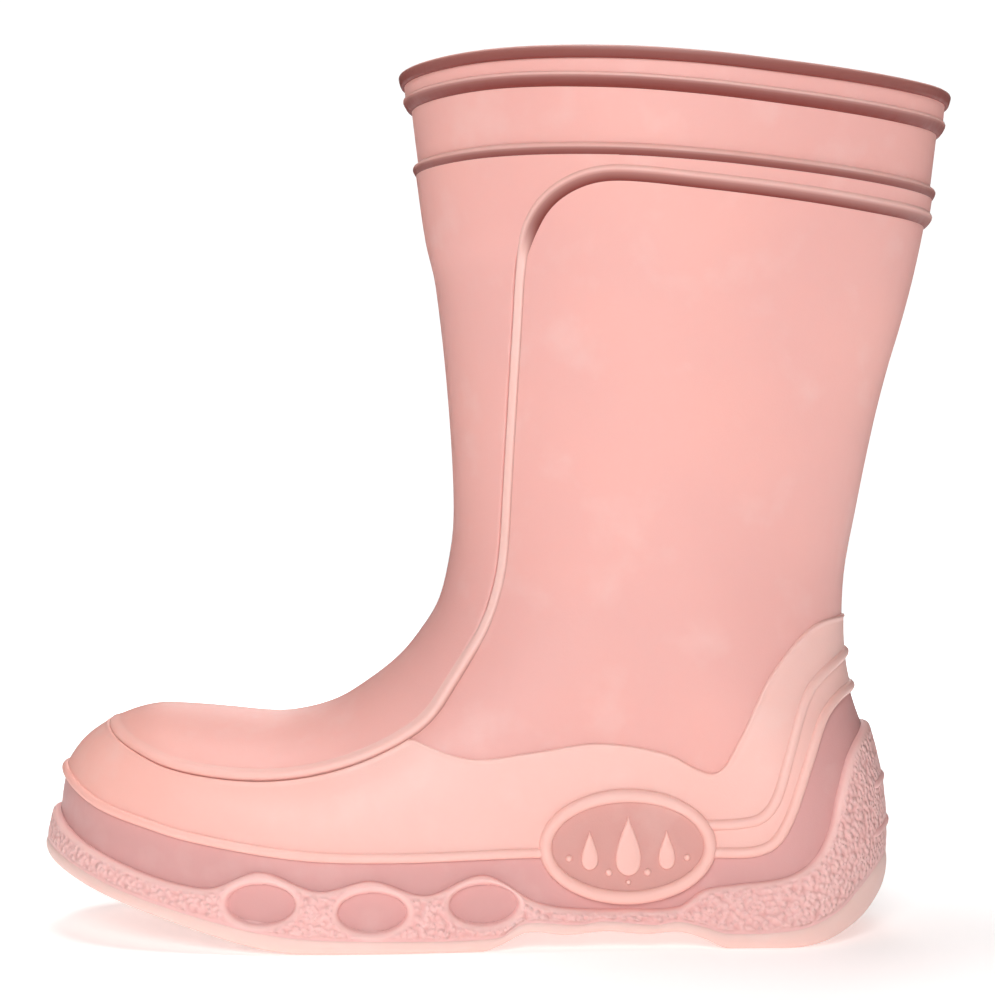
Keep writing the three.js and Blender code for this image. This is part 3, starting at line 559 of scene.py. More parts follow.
def finish_piece(obj, slot, *nodes):
    """Says which body a piece rides on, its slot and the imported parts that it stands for."""
    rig.ride(obj, BODY)
    if nodes:
        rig.replaces(obj, *nodes)
    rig.slot(obj, slot)
    return obj


# ---- Side-view lines of the pieces -------------------------------------------------------------
rim_top = through(
    (-32, 277.8), (0, 278.4), (37, 277), (61, 275.3), (92, 272.6), (126, 270.6), (146, 270.6))
rib_upper_line = through(
    (-32, 268), (0, 268.6), (37, 266.8), (61, 264.8), (92, 261.9), (126, 259.6), (146, 259.4))
rib_lower_line = through(
    (-26, 246.2), (0, 246.6), (37, 245.4), (61, 243.7), (92, 241), (126, 238.4), (144, 237.6))
bead_rear = through((35, 239), (46, 238.2), (60, 236.6), (92, 233.4), (120, 230.8), (144, 229.6))
PANEL_POINTS = [
    (-131, 73), (-128.5, 69.5), (-126, 67), (-123.7, 65.1), (-116.2, 61.3), (-98.7, 55),
    (-70.4, 52.6), (-45.4, 57.3), (-23.8, 68.4), (-14.6, 80.7), (-5.4, 96), (-0.8, 108.4),
    (1.7, 120.6), (3.2, 145), (4.6, 169), (6.1, 193.5), (7.3, 212.7), (9.3, 220.6), (11, 225),
    (13.9, 229.9), (18.2, 233.8), (23.3, 236.6), (28.3, 238.3)]
REAR_POINTS = [(x, float(bead_rear(x))) for x in (35, 46, 60, 80, 100, 120, 140, 152)]
panel_line = soft_line([*PANEL_POINTS, (31, 246), (33, 262)], 4)
bead_line = soft_line([*PANEL_POINTS, *REAR_POINTS], 4)
wavy_line = soft_line([
    (-60, 80), (-40, 70), (-26.9, 64.6), (-8.4, 58.8), (10, 60.7), (31.5, 63.6), (52, 60.4),
    (62, 55.5), (69, 54.5), (76, 66), (85, 84), (98.6, 98.6), (111, 102), (124, 103)], 1.2)
feather_line = soft_line([
    (-150, 58.5), (-141.2, 52), (-126.4, 43.6), (-109, 38.4), (-91.7, 34.2), (-60.6, 29.7),
    (-30, 28.8), (11.5, 29.7), (40, 29.5), (68.7, 29.3), (80, 29.6), (86.5, 32.5), (91, 40),
    (94.6, 50), (98.2, 60), (102, 69.7), (107.6, 76), (115, 79), (124, 81)])
heel_line = soft_line([
    (60, 37.6), (66.8, 37.8), (76, 38.3), (82.5, 40), (87, 46), (91, 59.5), (96.6, 76.5),
    (103, 84), (113.5, 90.3), (122, 93)])
texture_top = through(
    (-150, 45), (-143, 38.7), (-133.7, 32.5), (-114.4, 24.8), (-100, 20.8), (-88, 19.6),
    (-73, 24.8), (-54.7, 19.1), (-38.8, 22.2), (-21.9, 17.6), (-4.4, 23.4), (12, 15), (24, 12.8),
    (40, 12.4), (56, 13), (64, 18), (74.7, 19.7), (89.8, 21.9), (98.9, 27.5), (103.9, 36.8),
    (106.5, 47), (110.8, 58.5), (119, 67.3), (126, 71))
tread_top = through(
    (-150, 31), (-147, 30), (-130, 23), (-113.5, 17), (-86, 9.6), (-63, 5.4), (-45, 4.4),
    (0, 4.4), (8, 8.6), (25, 8), (33, 9), (49, 7.6), (56, 8.6), (64, 7), (72, 4.9), (93, 6.2),
    (105, 11), (114, 19), (121, 25), (127, 27))
curved_bottom = through(
    (-150, 25.5), (-147, 24.5), (-136, 20.5), (-123, 16), (-98, 8.3), (-82, 3.6), (-70, 0.9),
    (-60, 0), (-5, 0), (1, 2), (9, 5.6), (21, 4.6), (33, 5.6), (46, 4.6), (56, 5.2), (64, 3),
    (71, 0), (92, 0), (98, 0.7), (103, 2), (108, 4.2), (114, 7.5), (120.5, 12.5), (126, 16))
tread_bottom = lambda x: np.maximum(curved_bottom(x), 0)
board_line = through(
    (-150, 42), (-138, 37), (-120, 28.5), (-100, 21), (-80, 15.5), (-60, 12.8), (-40, 12.2),
    (-10, 14), (20, 18.2), (50, 22.2), (80, 24), (127, 24.6))
lining_floor = raised(board_line, 2.6)
insole_floor = raised(board_line, 5)
EDGE = 1.2  # mm from the bead's middle to the pieces tucked under its two sides
SHIN_EDGE = 1.6  # the same up the shin, where the bead is a flat band between two fine lines
TOP_OVERLAP = 3  # mm that the panel's top corner reaches past the bead's line
TOP_REACH = 6  # mm that the panel's top row runs on over the quarter
UNDER_GALOSH = 4  # mm of the quarter that the galosh covers
BAND_DEPTH = 22  # mm below the lower rib from which the quarter's rows lie closer


def up_the_shin(z):
    return smoothstep(z, 84, 108) * (1 - smoothstep(z, 209, 224))


seam_room = lerp(EDGE, SHIN_EDGE, up_the_shin(panel_line[:, 1:]))
over_leg = lerp(seam_room, -TOP_OVERLAP, smoothstep(panel_line[:, 1:], 236.5, 240))
panel_edge = height_of(beside(panel_line, over_leg))
leg_edge = height_of(beside(panel_line, -seam_room))
bead_height = height_of(bead_line)


def panel_out(x, z, proud):
    """Height of the front panel above the skin: low up the shin, proud elsewhere."""
    return lerp(proud, 0.3, up_the_shin(z)) * near_tip(x)


def near_tip(x):
    """Share of the height that the panel and its bead keep, lower at the tip of the toe."""
    return lerp(0.55, 1, smoothstep(x, -128, -108))


# ---- Materials


class Nodes:
    """A node tree, with short calls to add and link its nodes."""

    def __init__(self, tree):
        self.tree = tree

    def node(self, kind, settings=None, **inputs):
        node = self.tree.nodes.new(kind)
        for key, value in (settings or {}).items():
            setattr(node, key, value)
        for key, value in inputs.items():
            self.feed(node.inputs[key.replace("_", " ")], value)
        return node

    def feed(self, socket, value):
        if isinstance(value, bpy.types.NodeSocket):
            self.tree.links.new(value, socket)
        else:
            socket.default_value = value

    def math(self, operation, a, b=None):
        node = self.node("ShaderNodeMath", {"operation": operation})
        for socket, value in zip(node.inputs, (a, b)):
            if value is not None:
                self.feed(socket, value)
        return node.outputs[0]


class Shader(Nodes):
    """The node tree of one material."""

    def __init__(self, name):
        self.material = bpy.data.materials.new(name)
        self.material.use_nodes = True
        super().__init__(self.material.node_tree)
        self.surface = self.tree.nodes["Principled BSDF"]

    def set(self, **inputs):
        for key, value in inputs.items():
            self.feed(self.surface.inputs[key.replace("_", " ")], value)

    def place(self, stretch=(1, 1, 1)):
        where = self.node("ShaderNodeTexCoord").outputs["Object"]
        mapping = self.node("ShaderNodeMapping", Vector=where)
        mapping.inputs["Scale"].default_value = stretch
        return mapping.outputs["Vector"]

    def noise(self, scale, detail=3.0, stretch=(1, 1, 1)):
        noise = self.node("ShaderNodeTexNoise", Vector=self.place(stretch), Scale=scale,
                          Detail=detail)
        return noise.outputs["Fac"]

    def ramp(self, value, low, high, to_low=0.0, to_high=1.0):
        node = self.node("ShaderNodeMapRange", Value=value, From_Min=low, From_Max=high,
                         To_Min=to_low, To_Max=to_high)
        return node.outputs["Result"]

    def mix(self, share, a, b):
        node = self.node("ShaderNodeMix", {"data_type": "RGBA"})
        self.feed(node.inputs["Factor"], share)
        for key, value in (("A", a), ("B", b)):
            socket = [s for s in node.inputs if s.name == key and s.type == "RGBA"][0]
            self.feed(socket, value)
        return [s for s in node.outputs if s.type == "RGBA"][0]

    def mark(self, name):
        return self.node("ShaderNodeAttribute", {"attribute_name": name}).outputs["Fac"]

    def bump(self, height, distance, strength=1.0, normal=None):
        node = self.node("ShaderNodeBump", Height=height, Distance=distance, Strength=strength)
        if normal is not None:
            self.feed(node.inputs["Normal"], normal)
        return node.outputs["Normal"]


def colour(hexadecimal):
    """A linear colour with alpha from a six-digit sRGB one."""
    parts = [int(hexadecimal[k:k + 2], 16) / 255 for k in (0, 2, 4)]
    linear = [p / 12.92 if p <= 0.04045 else ((p + 0.055) / 1.055) ** 2.4 for p in parts]
    return (*linear, 1.0)


def rubber(name, base, warm, crease, rough=0.5, grain=False):
    """Satin moulded rubber: clouded tone, warmer at the toe, painted shade in creases and under edges, faint marks;
    grained, with painted highlights on the grain and lips and painted shade in its pits.
    """
    s = Shader(name)
    cloud = s.ramp(s.noise(14, 2), 0.38, 0.66)
    along = s.node("ShaderNodeSeparateXYZ", Vector=s.place()).outputs["X"]
    toe = s.ramp(along, -0.02, -0.13)
    tone = s.mix(s.math("MULTIPLY", cloud, 0.35), base, warm)
    tone = s.mix(s.math("MULTIPLY", toe, 0.75), tone, warm)
    bloom = s.ramp(s.noise(60, 4), 0.55, 0.75, 0, 0.12)
    tone = s.mix(bloom, tone, colour("FBE9E4"))
    # Painted shade: this mixes a deep tone into grooves, creases and the undersides of edges, where shade falls.
    tone = s.mix(s.mark("crease"), tone, crease)
    scuff = s.noise(420, 3, (1, 1, 0.2))
    roughness = s.ramp(scuff, 0.3, 0.75, rough - 0.06, rough + 0.1)
    fine = s.noise(1500, 2)
    normal = s.bump(fine, 0.00006, 0.5)
    normal = s.bump(s.noise(90, 2), 0.0005, 0.18, normal)
    if grain:
        pebbles = s.node("ShaderNodeTexVoronoi", {"feature": "SMOOTH_F1"}, Vector=s.place(),
                         Scale=660.0).outputs["Distance"]
        tops = s.ramp(pebbles, 0.75, 0.1)
        height = s.math("MULTIPLY", tops, s.mark("grain"))
        normal = s.bump(height, 0.001, 0.85, normal)
        # Painted highlight: the tops of the grain are mixed paler.
        tone = s.mix(s.math("MULTIPLY", height, 0.3), tone, colour("FFD9D2"))
        # Painted shade: the pits between the grain are mixed darker.
        pit_shade = s.math("MULTIPLY", s.ramp(pebbles, 0.35, 0.8), s.mark("grain"))
        tone = s.mix(s.math("MULTIPLY", pit_shade, 0.4), tone, colour("D08882"))
        # Painted highlight: a paler tone on the smooth rounded lips of the grained wall.
        tone = s.mix(s.math("MULTIPLY", s.mark("lip"), 0.6), tone, colour("FBCFC8"))
    s.set(Base_Color=tone, Roughness=roughness, Normal=normal, Subsurface_Weight=0.12,
          Subsurface_Scale=0.004, Coat_Weight=0.06, Coat_Roughness=0.35)
    s.surface.inputs["Subsurface Radius"].default_value = (1.0, 0.4, 0.3)
    return s.material


def knit(name, base, dark):
    """Tricot lining: fine ribs of loops with a soft nap."""
    s = Shader(name)
    ribs = s.node("ShaderNodeTexWave", {"bands_direction": "X"}, Vector=s.place((1, 1, 0.15)),
                  Scale=260.0, Distortion=1.2, Detail=1.0)
    loops = s.node("ShaderNodeTexWave", {"bands_direction": "Z"}, Vector=s.place(), Scale=300.0,
                   Distortion=0.8, Detail=1.0)
    weave = s.math("MULTIPLY", ribs.outputs["Fac"], loops.outputs["Fac"])
    tone = s.mix(s.ramp(weave, 0.0, 0.8), dark, base)
    tone = s.mix(s.ramp(s.noise(40, 3), 0.4, 0.7, 0, 0.25), tone, dark)
    normal = s.bump(weave, 0.0004, 0.6)
    s.set(Base_Color=tone, Roughness=0.92, Normal=normal, Sheen_Weight=0.25)
    return s.material


def fibre(name, base, dark, scale, rough=0.9, metal=0.0, stretch=(1, 1, 1)):
    """Pressed board, foam, filler or brushed steel: mottled, with a fine surface."""
    s = Shader(name)
    tone = s.mix(s.ramp(s.noise(scale, 5, stretch), 0.35, 0.7), base, dark)
    s.set(Base_Color=tone, Roughness=rough, Metallic=metal,
          Normal=s.bump(s.noise(scale * 3, 4, stretch), 0.0003, 0.4))
    return s.material


MATERIALS = {}


def make_materials(colours):
    opaque = {key: (*getattr(colours, key), 1) for key in colours.__annotations__}
    crease, warm = opaque["crease"], opaque["warm"]
    for name in ("leg", "foot", "trim", "rand", "tread", "plate"):
        tint = warm if name in ("leg", "foot", "trim") else opaque[name]
        MATERIALS[name] = rubber(name + " rubber", opaque[name], tint, crease)
    MATERIALS["texture"] = rubber(
        "textured rubber", opaque["texture"], opaque["texture"], crease, 0.62, True)
    MATERIALS["lining"] = knit("lining knit", colour("EFDCD6"), colour("C9A9A2"))
    MATERIALS["foam"] = fibre("insole foam", colour("E3D4CE"), colour("C9B6AF"), 700)
    MATERIALS["board"] = fibre("fibre board", colour("B99B78"), colour("94785A"), 500, 0.92)
    MATERIALS["filler"] = fibre("filler rubber", colour("8F817C"), colour("73655F"), 300, 0.85)
    MATERIALS["steel"] = fibre(
        "shank steel", colour("A9AEB4"), colour("8D9298"), 400, 0.35, 1.0, (0.1, 1, 1))


# ---- Settings


def millimetres(label, text, default, low=0.0, high=20.0):
    return bpy.props.FloatProperty(
        name=label, description=text, default=default, min=low, max=high, unit="NONE")


def shade(label, text, hexadecimal):
    return bpy.props.FloatVectorProperty(
        name=label, description=text, default=colour(hexadecimal)[:3], min=0, max=1,
        subtype="COLOR")


class BootSizes(bpy.types.PropertyGroup):
    """Sizes that a maker would change, in millimetres."""
    panel_proud: millimetres("Panel", "Front panel above the skin, mm", 1.2)
    galosh_proud: millimetres("Galosh", "Galosh above the skin, mm", 0.7)
    band_proud: millimetres("Rim band", "Band under the rim above the skin, mm", 1.6)
    wall_proud: millimetres("Sole wall", "Textured sole wall above the skin, mm", 2.4)
    tread_proud: millimetres("Tread", "Edge of the tread above the skin, mm", 3.0)
    grain_depth: millimetres("Grain", "Depth of the sole wall's grain, mm", 0.13)
    toe_bead: millimetres("Toe bead", "Radius of the bead round the toe, mm", 1.5)
    heel_bead: millimetres("Heel strips", "Radius of the heel strips, mm", 1.75)
    lug_height: millimetres("Lugs", "Height of the tread lugs, mm", 1.9)


class BootColours(bpy.types.PropertyGroup):
    """Colours of the rubbers, and the deep tone of the painted shade."""
    leg: shade("Leg", "Leg and cuff", "ECAFA8")
    foot: shade("Foot", "Galosh", "F8C6BD")
    warm: shade("Toe", "Warmer tone towards the toe", "FFB9AC")
    trim: shade("Trim", "Beads, rim and rings", "F9C8BF")
    rand: shade("Rand", "Smooth side wall", "DAA29F")
    texture: shade("Sole wall", "Textured wall", "F6BFBB")
    tread: shade("Tread", "Smooth edge and tread", "F6CFC6")
    plate: shade("Badge", "Plate of the badge", "DA9F97")
    # Painted shade: the deep tone laid into grooves and under edges.
    crease: shade("Crease", "Tone in grooves and under edges", "7C2E25")


# ---- Pieces


def rounded_edge(distance, radius, full, foot):
    """Height of a surface that rounds down to its foot at distance 0 from its edge."""
    t = np.clip(distance / radius, 0, 1)
    return lerp(foot, full, np.sqrt(np.clip(1 - (1 - t) ** 2, 0, 1)))


def leg_quarter(sizes):
    """The quarter behind the front panel, and the proud band above the rear bead."""
    wavy = height_of(beside(wavy_line, -UNDER_GALOSH))
    rear_low, rear_high = raised(rib_lower_line, -BAND_DEPTH), rib_lower_line
    seam = lambda x, z: leg_edge(x) - z
    shares = np.r_[0, 0.004, 0.012, far_end(84)[2:]]
    low = level_rows(between(wavy, rear_low, np.linspace(0, 1, 70)), shares, seam)
    high = level_rows(between(rear_low, rear_high, np.linspace(0, 1, 26)[1:]), shares, seam)
    x, z = (np.concatenate([a, b]) for a, b in zip(low, high))
    proud = smoothstep(z - bead_height(x), -0.9, 0.9) * (sizes.panel_proud - 0.05)
    proud = np.where(x > 7, proud, 0)
    return strip_shell(over(x, z, proud), over(x, z, -UNDER_SKIN))


def first_that_fits(row, choices):
    """The first choice whose row lies on the boot."""
    for choice in choices:
        try:
            row(choice)
            return choice
        except ValueError:
            continue
    raise ValueError("no row of the panel lies on the boot")


def front_panel(sizes):
    """The raised panel from the toe up the shin, its rows following the fan of the skin."""
    fan = fan_lines()
    spread = np.r_[0, 0.01, 0.03, far_end(44)[2:]]

    def row(index):
        tx, tz, mx, mz = (np.interp(index, np.arange(len(fan)), fan[:, k]) for k in range(4))

        def test(u):
            x, z = lerp(mx, tx, u), lerp(mz, tz, u)
            return np.minimum(inside(x, z), z - panel_edge(x))

        u = lerp(*longest_run(test, -0.6, 1.12, 1500), spread)
        return lerp(mx, tx, u), lerp(mz, tz, u)

    first = first_that_fits(row, np.arange(76, 90, 0.05))
    last, count = 208, 120
    rows = [row(index) for index in lerp(first, last, np.linspace(0, 1, count) ** 1.15)]
    xs, zs = [r[0] for r in rows], [r[1] for r in rows]
    top = level_rows([rib_lower_line], 1 - spread, lambda x, z: z - panel_edge(x - TOP_REACH))
    for share in np.linspace(0, 1, 14)[1:]:
        xs.append(lerp(xs[count - 1], top[0][0], share))
        zs.append(lerp(zs[count - 1], top[1][0], share))
    x, z = np.array(xs), np.array(zs)
    step = np.hypot(x - x[:, :1], z - z[:, :1])
    proud = panel_out(x, z, sizes.panel_proud)
    return strip_shell(over(x, z, rounded_edge(step, 0.5, proud, -0.2)), over(x, z, -UNDER_SKIN))


# Depth below the galosh's upper edge and height there, in millimetres.
GALOSH_LIP = [(0, -0.3), (0.12, 0.35), (0.35, 0.85), (0.7, 1.0), (1.05, 0.9), (1.5, 0.72),
              (2.1, 0.68), (3, 0.7)]


def galosh(sizes):
    """The lower overlay with a thin raised lip along its wavy upper edge."""
    edges = []
    for depth, _ in GALOSH_LIP:
        seam, wave = (height_of(beside(line, -depth - cover))
                      for line, cover in ((panel_line, EDGE), (wavy_line, 0)))
        edges.append(lambda x, seam=seam, wave=wave: np.minimum(seam(x), wave(x)))
    foot = height_of(beside(feather_line, 0))
    levels = [*between(foot, edges[-1], np.linspace(0, 1, 60)), *edges[-2::-1]]
    x, z = level_rows(levels, both_ends(240))
    lip = np.array([height for _, height in GALOSH_LIP]) / GALOSH_LIP[-1][1]
    out = np.full(x.shape, sizes.galosh_proud)
    out[-len(lip):] = sizes.galosh_proud * lip[::-1, None]
    return backed_shell(x, z, around(x, z, out), 4)


def top_cuff(sizes):
    low, high = raised(rib_lower_line, -1), raised(rim_top, -1.5)
    on_leg = lambda x, z: x + 60
    levels = between(low, high, np.linspace(0, 1, 40))
    x, z = level_rows(levels, both_ends(110), on_leg)
    out = sizes.band_proud * smoothstep(z - rib_upper_line(x), -0.8, 1.4)
    return backed_shell(x, z, around(x, z, out), 6)


def stations_of(line, test=None, step=1):
    """The part of a side-view line that lies on the boot, with its ends found exactly."""
    index = np.arange(len(line))
    at = lambda u: (np.interp(u, index, line[:, 0]), np.interp(u, index, line[:, 1]))

    def wanted(u):
        x, z = at(u)
        return inside(x, z) if test is None else np.minimum(inside(x, z), test(x, z))

    a, b = longest_run(wanted, 0, len(line) - 1, 2 * len(line))
    count = int((b - a) / step)
    u = np.linspace(0, 1, count + 1)
    return at(lerp(a, b, lerp(u, (1 - np.cos(np.pi * u)) / 2, 0.55)))


def ring_path(x, z):
    """Stations all round: lateral from front to back, then medial from back to front."""
    side = np.r_[np.full(len(x), LATERAL), np.full(len(x) - 2, MEDIAL)]
    return np.r_[x, x[-2:0:-1]], np.r_[z, z[-2:0:-1]], side


def side_skin(x, z, side, out=0.0):
    out = np.broadcast_to(out, x.shape)
    points = np.empty((*x.shape, 3))
    for which in (LATERAL, MEDIAL):
        here = side == which
        points[here] = skin(x[here], z[here], which, out[here])
    return points


def sweep(x, z, side, section):
    """A closed ring whose section, [up, out] points per station, is carried along the path."""
    place = side_skin(x, z, side)
    along = np.roll(place, -1, 0) - np.roll(place, 1, 0)
    along /= np.linalg.norm(along, axis=1)[:, None]
    outward = side_skin(x, z, side, 1.0) - place
    upward = np.cross(outward, along)
    upward /= np.linalg.norm(upward, axis=1)[:, None]
    ups, outs = section[..., 0], section[..., 1]
    loops = place[None] + ups[..., None] * upward[None] + outs[..., None] * outward[None]
    return ring_shell(loops)


def fixed_section(points, stations):
    return np.repeat(np.array(points, float)[:, None, :], stations, axis=1)


RIM = [
    (-1.9, -0.5), (-1.95, 1.4), (-2.0, 2.1), (-1.75, 2.65), (-1.1, 2.9), (0.2, 3.15), (1.1, 3.25),
    (1.6, 3.0), (1.9, 2.4), (2.0, 1.2), (2.0, -1), (2.0, -3.2), (1.8, -4.4), (1.2, -5.1),
    (0, -5.4), (-1.4, -5.3), (-2, -4.6)]
# Painted shade on the rim's lower outer face and underside: one share for each point of its section.
RIM_PAINTED_SHADE = [1, 1, 1, 1, 0.97, 0.92, 0.8, 0.5, 0.12, 0, 0, 0, 0, 0, 0.1, 0.4, 1]
RIB_UPPER = [
    (-2.5, SUNK), (-2.4, 0.15), (-2.05, 0.75), (-1.5, 1.3), (-0.7, 1.8), (0.2, 2.2), (0.9, 2.45),
    (1.35, 2.5), (1.75, 2.3), (2.0, 1.9), (2.2, 1.4), (2.4, SUNK)]
RIB_LOWER = [
    (-2.5, SUNK), (-2.4, 0.05), (-2.05, 0.5), (-1.5, 1.0), (-0.7, 1.5), (0.2, 1.85), (0.9, 2.0),
    (1.35, 1.95), (1.8, 1.6), (2.2, 0.9), (2.6, 0.1), (2.7, SUNK)]
# Painted shade on the ribs' lower faces: one share for each point of their sections.
RIB_PAINTED_SHADE = [1, 1, 1, 1, 0.97, 0.9, 0.68, 0.15, 0, 0, 0, 0]
# Sections of the panel bead from its quarter side to its panel side, all with equal counts.
BEAD_TOE = [
    (-1.75, SUNK), (-1.62, 0.2), (-1.55, 0.75), (-1.4, 1.3), (-1.0, 1.75), (-0.4, 1.98),
    (0.2, 1.95), (0.8, 1.75), (1.4, 1.48), (2.0, 1.26), (2.6, 1.14), (2.9, SUNK)]
BEAD_SHIN = [
    (-1.85, SUNK), (-1.7, -0.35), (-1.55, -0.3), (-1.4, 0.2), (-1.1, 0.4), (-0.5, 0.5),
    (0.3, 0.52), (0.9, 0.5), (1.25, 0.42), (1.42, 0.05), (1.6, 0.0), (1.75, SUNK)]
BEAD_REAR = [
    (-2.5, SUNK), (-2.4, 0.05), (-2.1, 0.45), (-1.6, 0.95), (-0.9, 1.4), (0, 1.85),
    (0.7, 2.1), (1.2, 2.15), (1.7, 1.95), (2.2, 1.5), (2.6, 1.0), (2.7, SUNK)]
# Painted shade for each point of the three sections: on the quarter side at the toe, on both edges up the shin and on
# the underside at the back.
BEAD_PAINTED_SHADES = [
    [0.5, 0.5, 0.35, 0.12, 0.04, 0, 0, 0, 0, 0.02, 0.05, 0.05],
    [0.4, 0.4, 0.3, 0.12, 0, 0, 0, 0, 0.1, 0.3, 0.4, 0.4],
    [1, 1, 1, 0.95, 0.88, 0.75, 0.45, 0.1, 0, 0, 0, 0]]


def level_line(level, x_from=-40, x_to=152):
    x = np.linspace(x_from, x_to, 400)
    return np.column_stack([x, level(x)])


def ring_piece(level, section, crease):
    """A ring round the leg at a level, with its section and the painted shade on the section's faces."""
    x, z, side = ring_path(*stations_of(level_line(level)))
    points, faces = sweep(x, z, side, fixed_section(section, len(x)))
    return points, faces, {"crease": np.repeat(crease, len(x))}


def panel_bead():
    """The bead that edges the front panel and runs on round the back."""
    x, z, side = ring_path(*stations_of(bead_line, step=1.2))
    shin = up_the_shin(z) * (x < 60)
    rear = np.clip(smoothstep(z, 211, 226), 0, 1)
    toe = np.clip(1 - shin - rear, 0, 1)
    weights = np.stack([toe, shin, rear]) / (toe + shin + rear)
    profiles = np.array([BEAD_TOE, BEAD_SHIN, BEAD_REAR])
    section = np.einsum("kn,kpc->pnc", weights, profiles)
    section[..., 1] *= np.where(section[..., 1] > 0, near_tip(x), 1)
    # Painted shade along the bead's edges, blended between the three sections' shares.
    crease = np.einsum("kn,kp->pn", weights, np.array(BEAD_PAINTED_SHADES))
    return (*sweep(x, z, side, section), {"crease": crease})


# ---- Geometry Nodes


def new_tree(name, **sockets):
    """A Geometry Nodes tree with named inputs, its inputs' sockets and its output node."""
    tree = bpy.data.node_groups.new(name, "GeometryNodeTree")
    for way in ("OUTPUT", "INPUT"):
        tree.interface.new_socket(name="Geometry", in_out=way, socket_type="NodeSocketGeometry")
    for label, kind in sockets.items():
        tree.interface.new_socket(name=label, in_out="INPUT", socket_type="NodeSocket" + kind)
    source, result = tree.nodes.new("NodeGroupInput"), tree.nodes.new("NodeGroupOutput")
    return Nodes(tree), source.outputs, result


def end_tree(t, source, result, geometry):
    real = t.node("GeometryNodeRealizeInstances", Geometry=geometry)
    paint = t.node("GeometryNodeSetMaterial", Geometry=real.outputs["Geometry"],
                   Material=source["Rubber"])
    t.feed(result.inputs["Geometry"], paint.outputs["Geometry"])
    return t.tree


def named(t, label):
    attribute = t.node("GeometryNodeInputNamedAttribute", {"data_type": "FLOAT"}, Name=label)
    return attribute.outputs["Attribute"]


def bead_tree():
    """A round bead along each line of its input, as wide as the line's width attribute says."""
    t, source, result = new_tree("Bead", Radius="Float", Sides="Int", Rubber="Material")
    curve = t.node("GeometryNodeMeshToCurve", Mesh=source["Geometry"]).outputs["Curve"]
    width = named(t, "width")
    sized = t.node("GeometryNodeSetCurveRadius", Curve=curve, Radius=width)
    circle = t.node("GeometryNodeCurvePrimitiveCircle", Resolution=source["Sides"],
                    Radius=source["Radius"])
    body = t.node("GeometryNodeCurveToMesh", Curve=sized.outputs["Curve"],
                  Profile_Curve=circle.outputs["Curve"], Fill_Caps=True)
    if "Scale" in body.inputs:
        t.feed(body.inputs["Scale"], width)
    return end_tree(t, source, result, body.outputs["Mesh"])


def lug_tree():
    """A chevron lug on each input point, stretched and tilted by the point's attributes."""
    t, source, result = new_tree(
        "Lugs", Width="Float", Height="Float", Lead="Float", Rubber="Material")
    size = t.node("ShaderNodeCombineXYZ", X=source["Width"], Y=2.0, Z=source["Height"])
    block = t.node("GeometryNodeMeshCube", Size=size.outputs["Vector"], Vertices_X=2,
                   Vertices_Y=13, Vertices_Z=2)
    where = t.node("GeometryNodeInputPosition").outputs["Position"]
    split = t.node("ShaderNodeSeparateXYZ", Vector=where)
    lead = t.math("MULTIPLY", t.math("ABSOLUTE", split.outputs["Y"]), source["Lead"])
    shift = t.node("ShaderNodeCombineXYZ", X=lead)
    bent = t.node("GeometryNodeSetPosition", Geometry=block.outputs["Mesh"],
                  Offset=shift.outputs["Vector"])
    scale = t.node("ShaderNodeCombineXYZ", X=1.0, Y=named(t, "reach"), Z=1.0)
    tilt = t.node("ShaderNodeCombineXYZ", Y=named(t, "tilt"))
    placed = t.node("GeometryNodeInstanceOnPoints", Points=source["Geometry"],
                    Instance=bent.outputs["Geometry"], Scale=scale.outputs["Vector"],
                    Rotation=tilt.outputs["Vector"])
    return end_tree(t, source, result, placed.outputs["Instances"])


def grown(name, points, edges, marks, tree, values, sharp=50):
    """A plain mesh object grown by a Geometry Nodes tree from points in millimetres."""
    mesh = bpy.data.meshes.new(name)
    moved = (np.asarray(points, float) + [SKIN_SHIFT, 0, 0]) / 1000
    mesh.from_pydata(moved.tolist(), edges, [])
    for mark, numbers in marks.items():
        mark_points(mesh, mark, numbers)
    obj = bpy.data.objects.new(name, mesh)
    bpy.context.scene.collection.objects.link(obj)
    modifier = obj.modifiers.new("Grow", "NODES")
    modifier.node_group = tree
    for item in tree.interface.items_tree:
        if item.item_type == "SOCKET" and item.in_out == "INPUT" and item.name in values:
            modifier[item.identifier] = values[item.name]
    obj.update_tag()
    bpy.context.view_layer.update()
    graph = bpy.context.evaluated_depsgraph_get()
    result = bpy.data.meshes.new_from_object(obj.evaluated_get(graph), depsgraph=graph)
    obj.modifiers.clear()
    obj.data = result
    tidy_mesh(result, sharp)
    return obj


def rolled(name, sides, width, radius, round_sides, finish, from_front=False):
    """A bead along both sides, joined over the heel's silhouette, or the toe's."""
    a, b = sides
    if from_front:
        path, width = np.concatenate([a[::-1], b[1:]]), np.r_[width[::-1], width[1:]]
    else:
        path, width = np.concatenate([a, b[-2::-1]]), np.r_[width, width[-2::-1]]
    edges = [(k, k + 1) for k in range(len(path) - 1)]
    values = {"Radius": radius / 1000, "Sides": round_sides, "Rubber": MATERIALS[finish]}
    return grown(name, path, edges, {"width": width}, TREES["bead"], values)


def bead_piece(name, line, depth, radius, test, tapers):
    """A round bead on both sides of the boot, half sunk in the skin, thinner at its ends."""
    x, z = stations_of(line, test, 1.5)
    share = np.linspace(0, 1, len(x))
    taper = (np.minimum(1, lerp(tapers[0], 1, smoothstep(share, 0, 0.02)))
             * np.minimum(1, lerp(1, tapers[1], smoothstep(share, 0.98, 1))))
    at_toe = inside(x[:1], z[:1])[0] < 5
    sides = [skin(x, z, side, depth) for side in (LATERAL, MEDIAL)]
    return rolled(name, sides, taper, radius, 20, "trim", at_toe)


TREES = {}

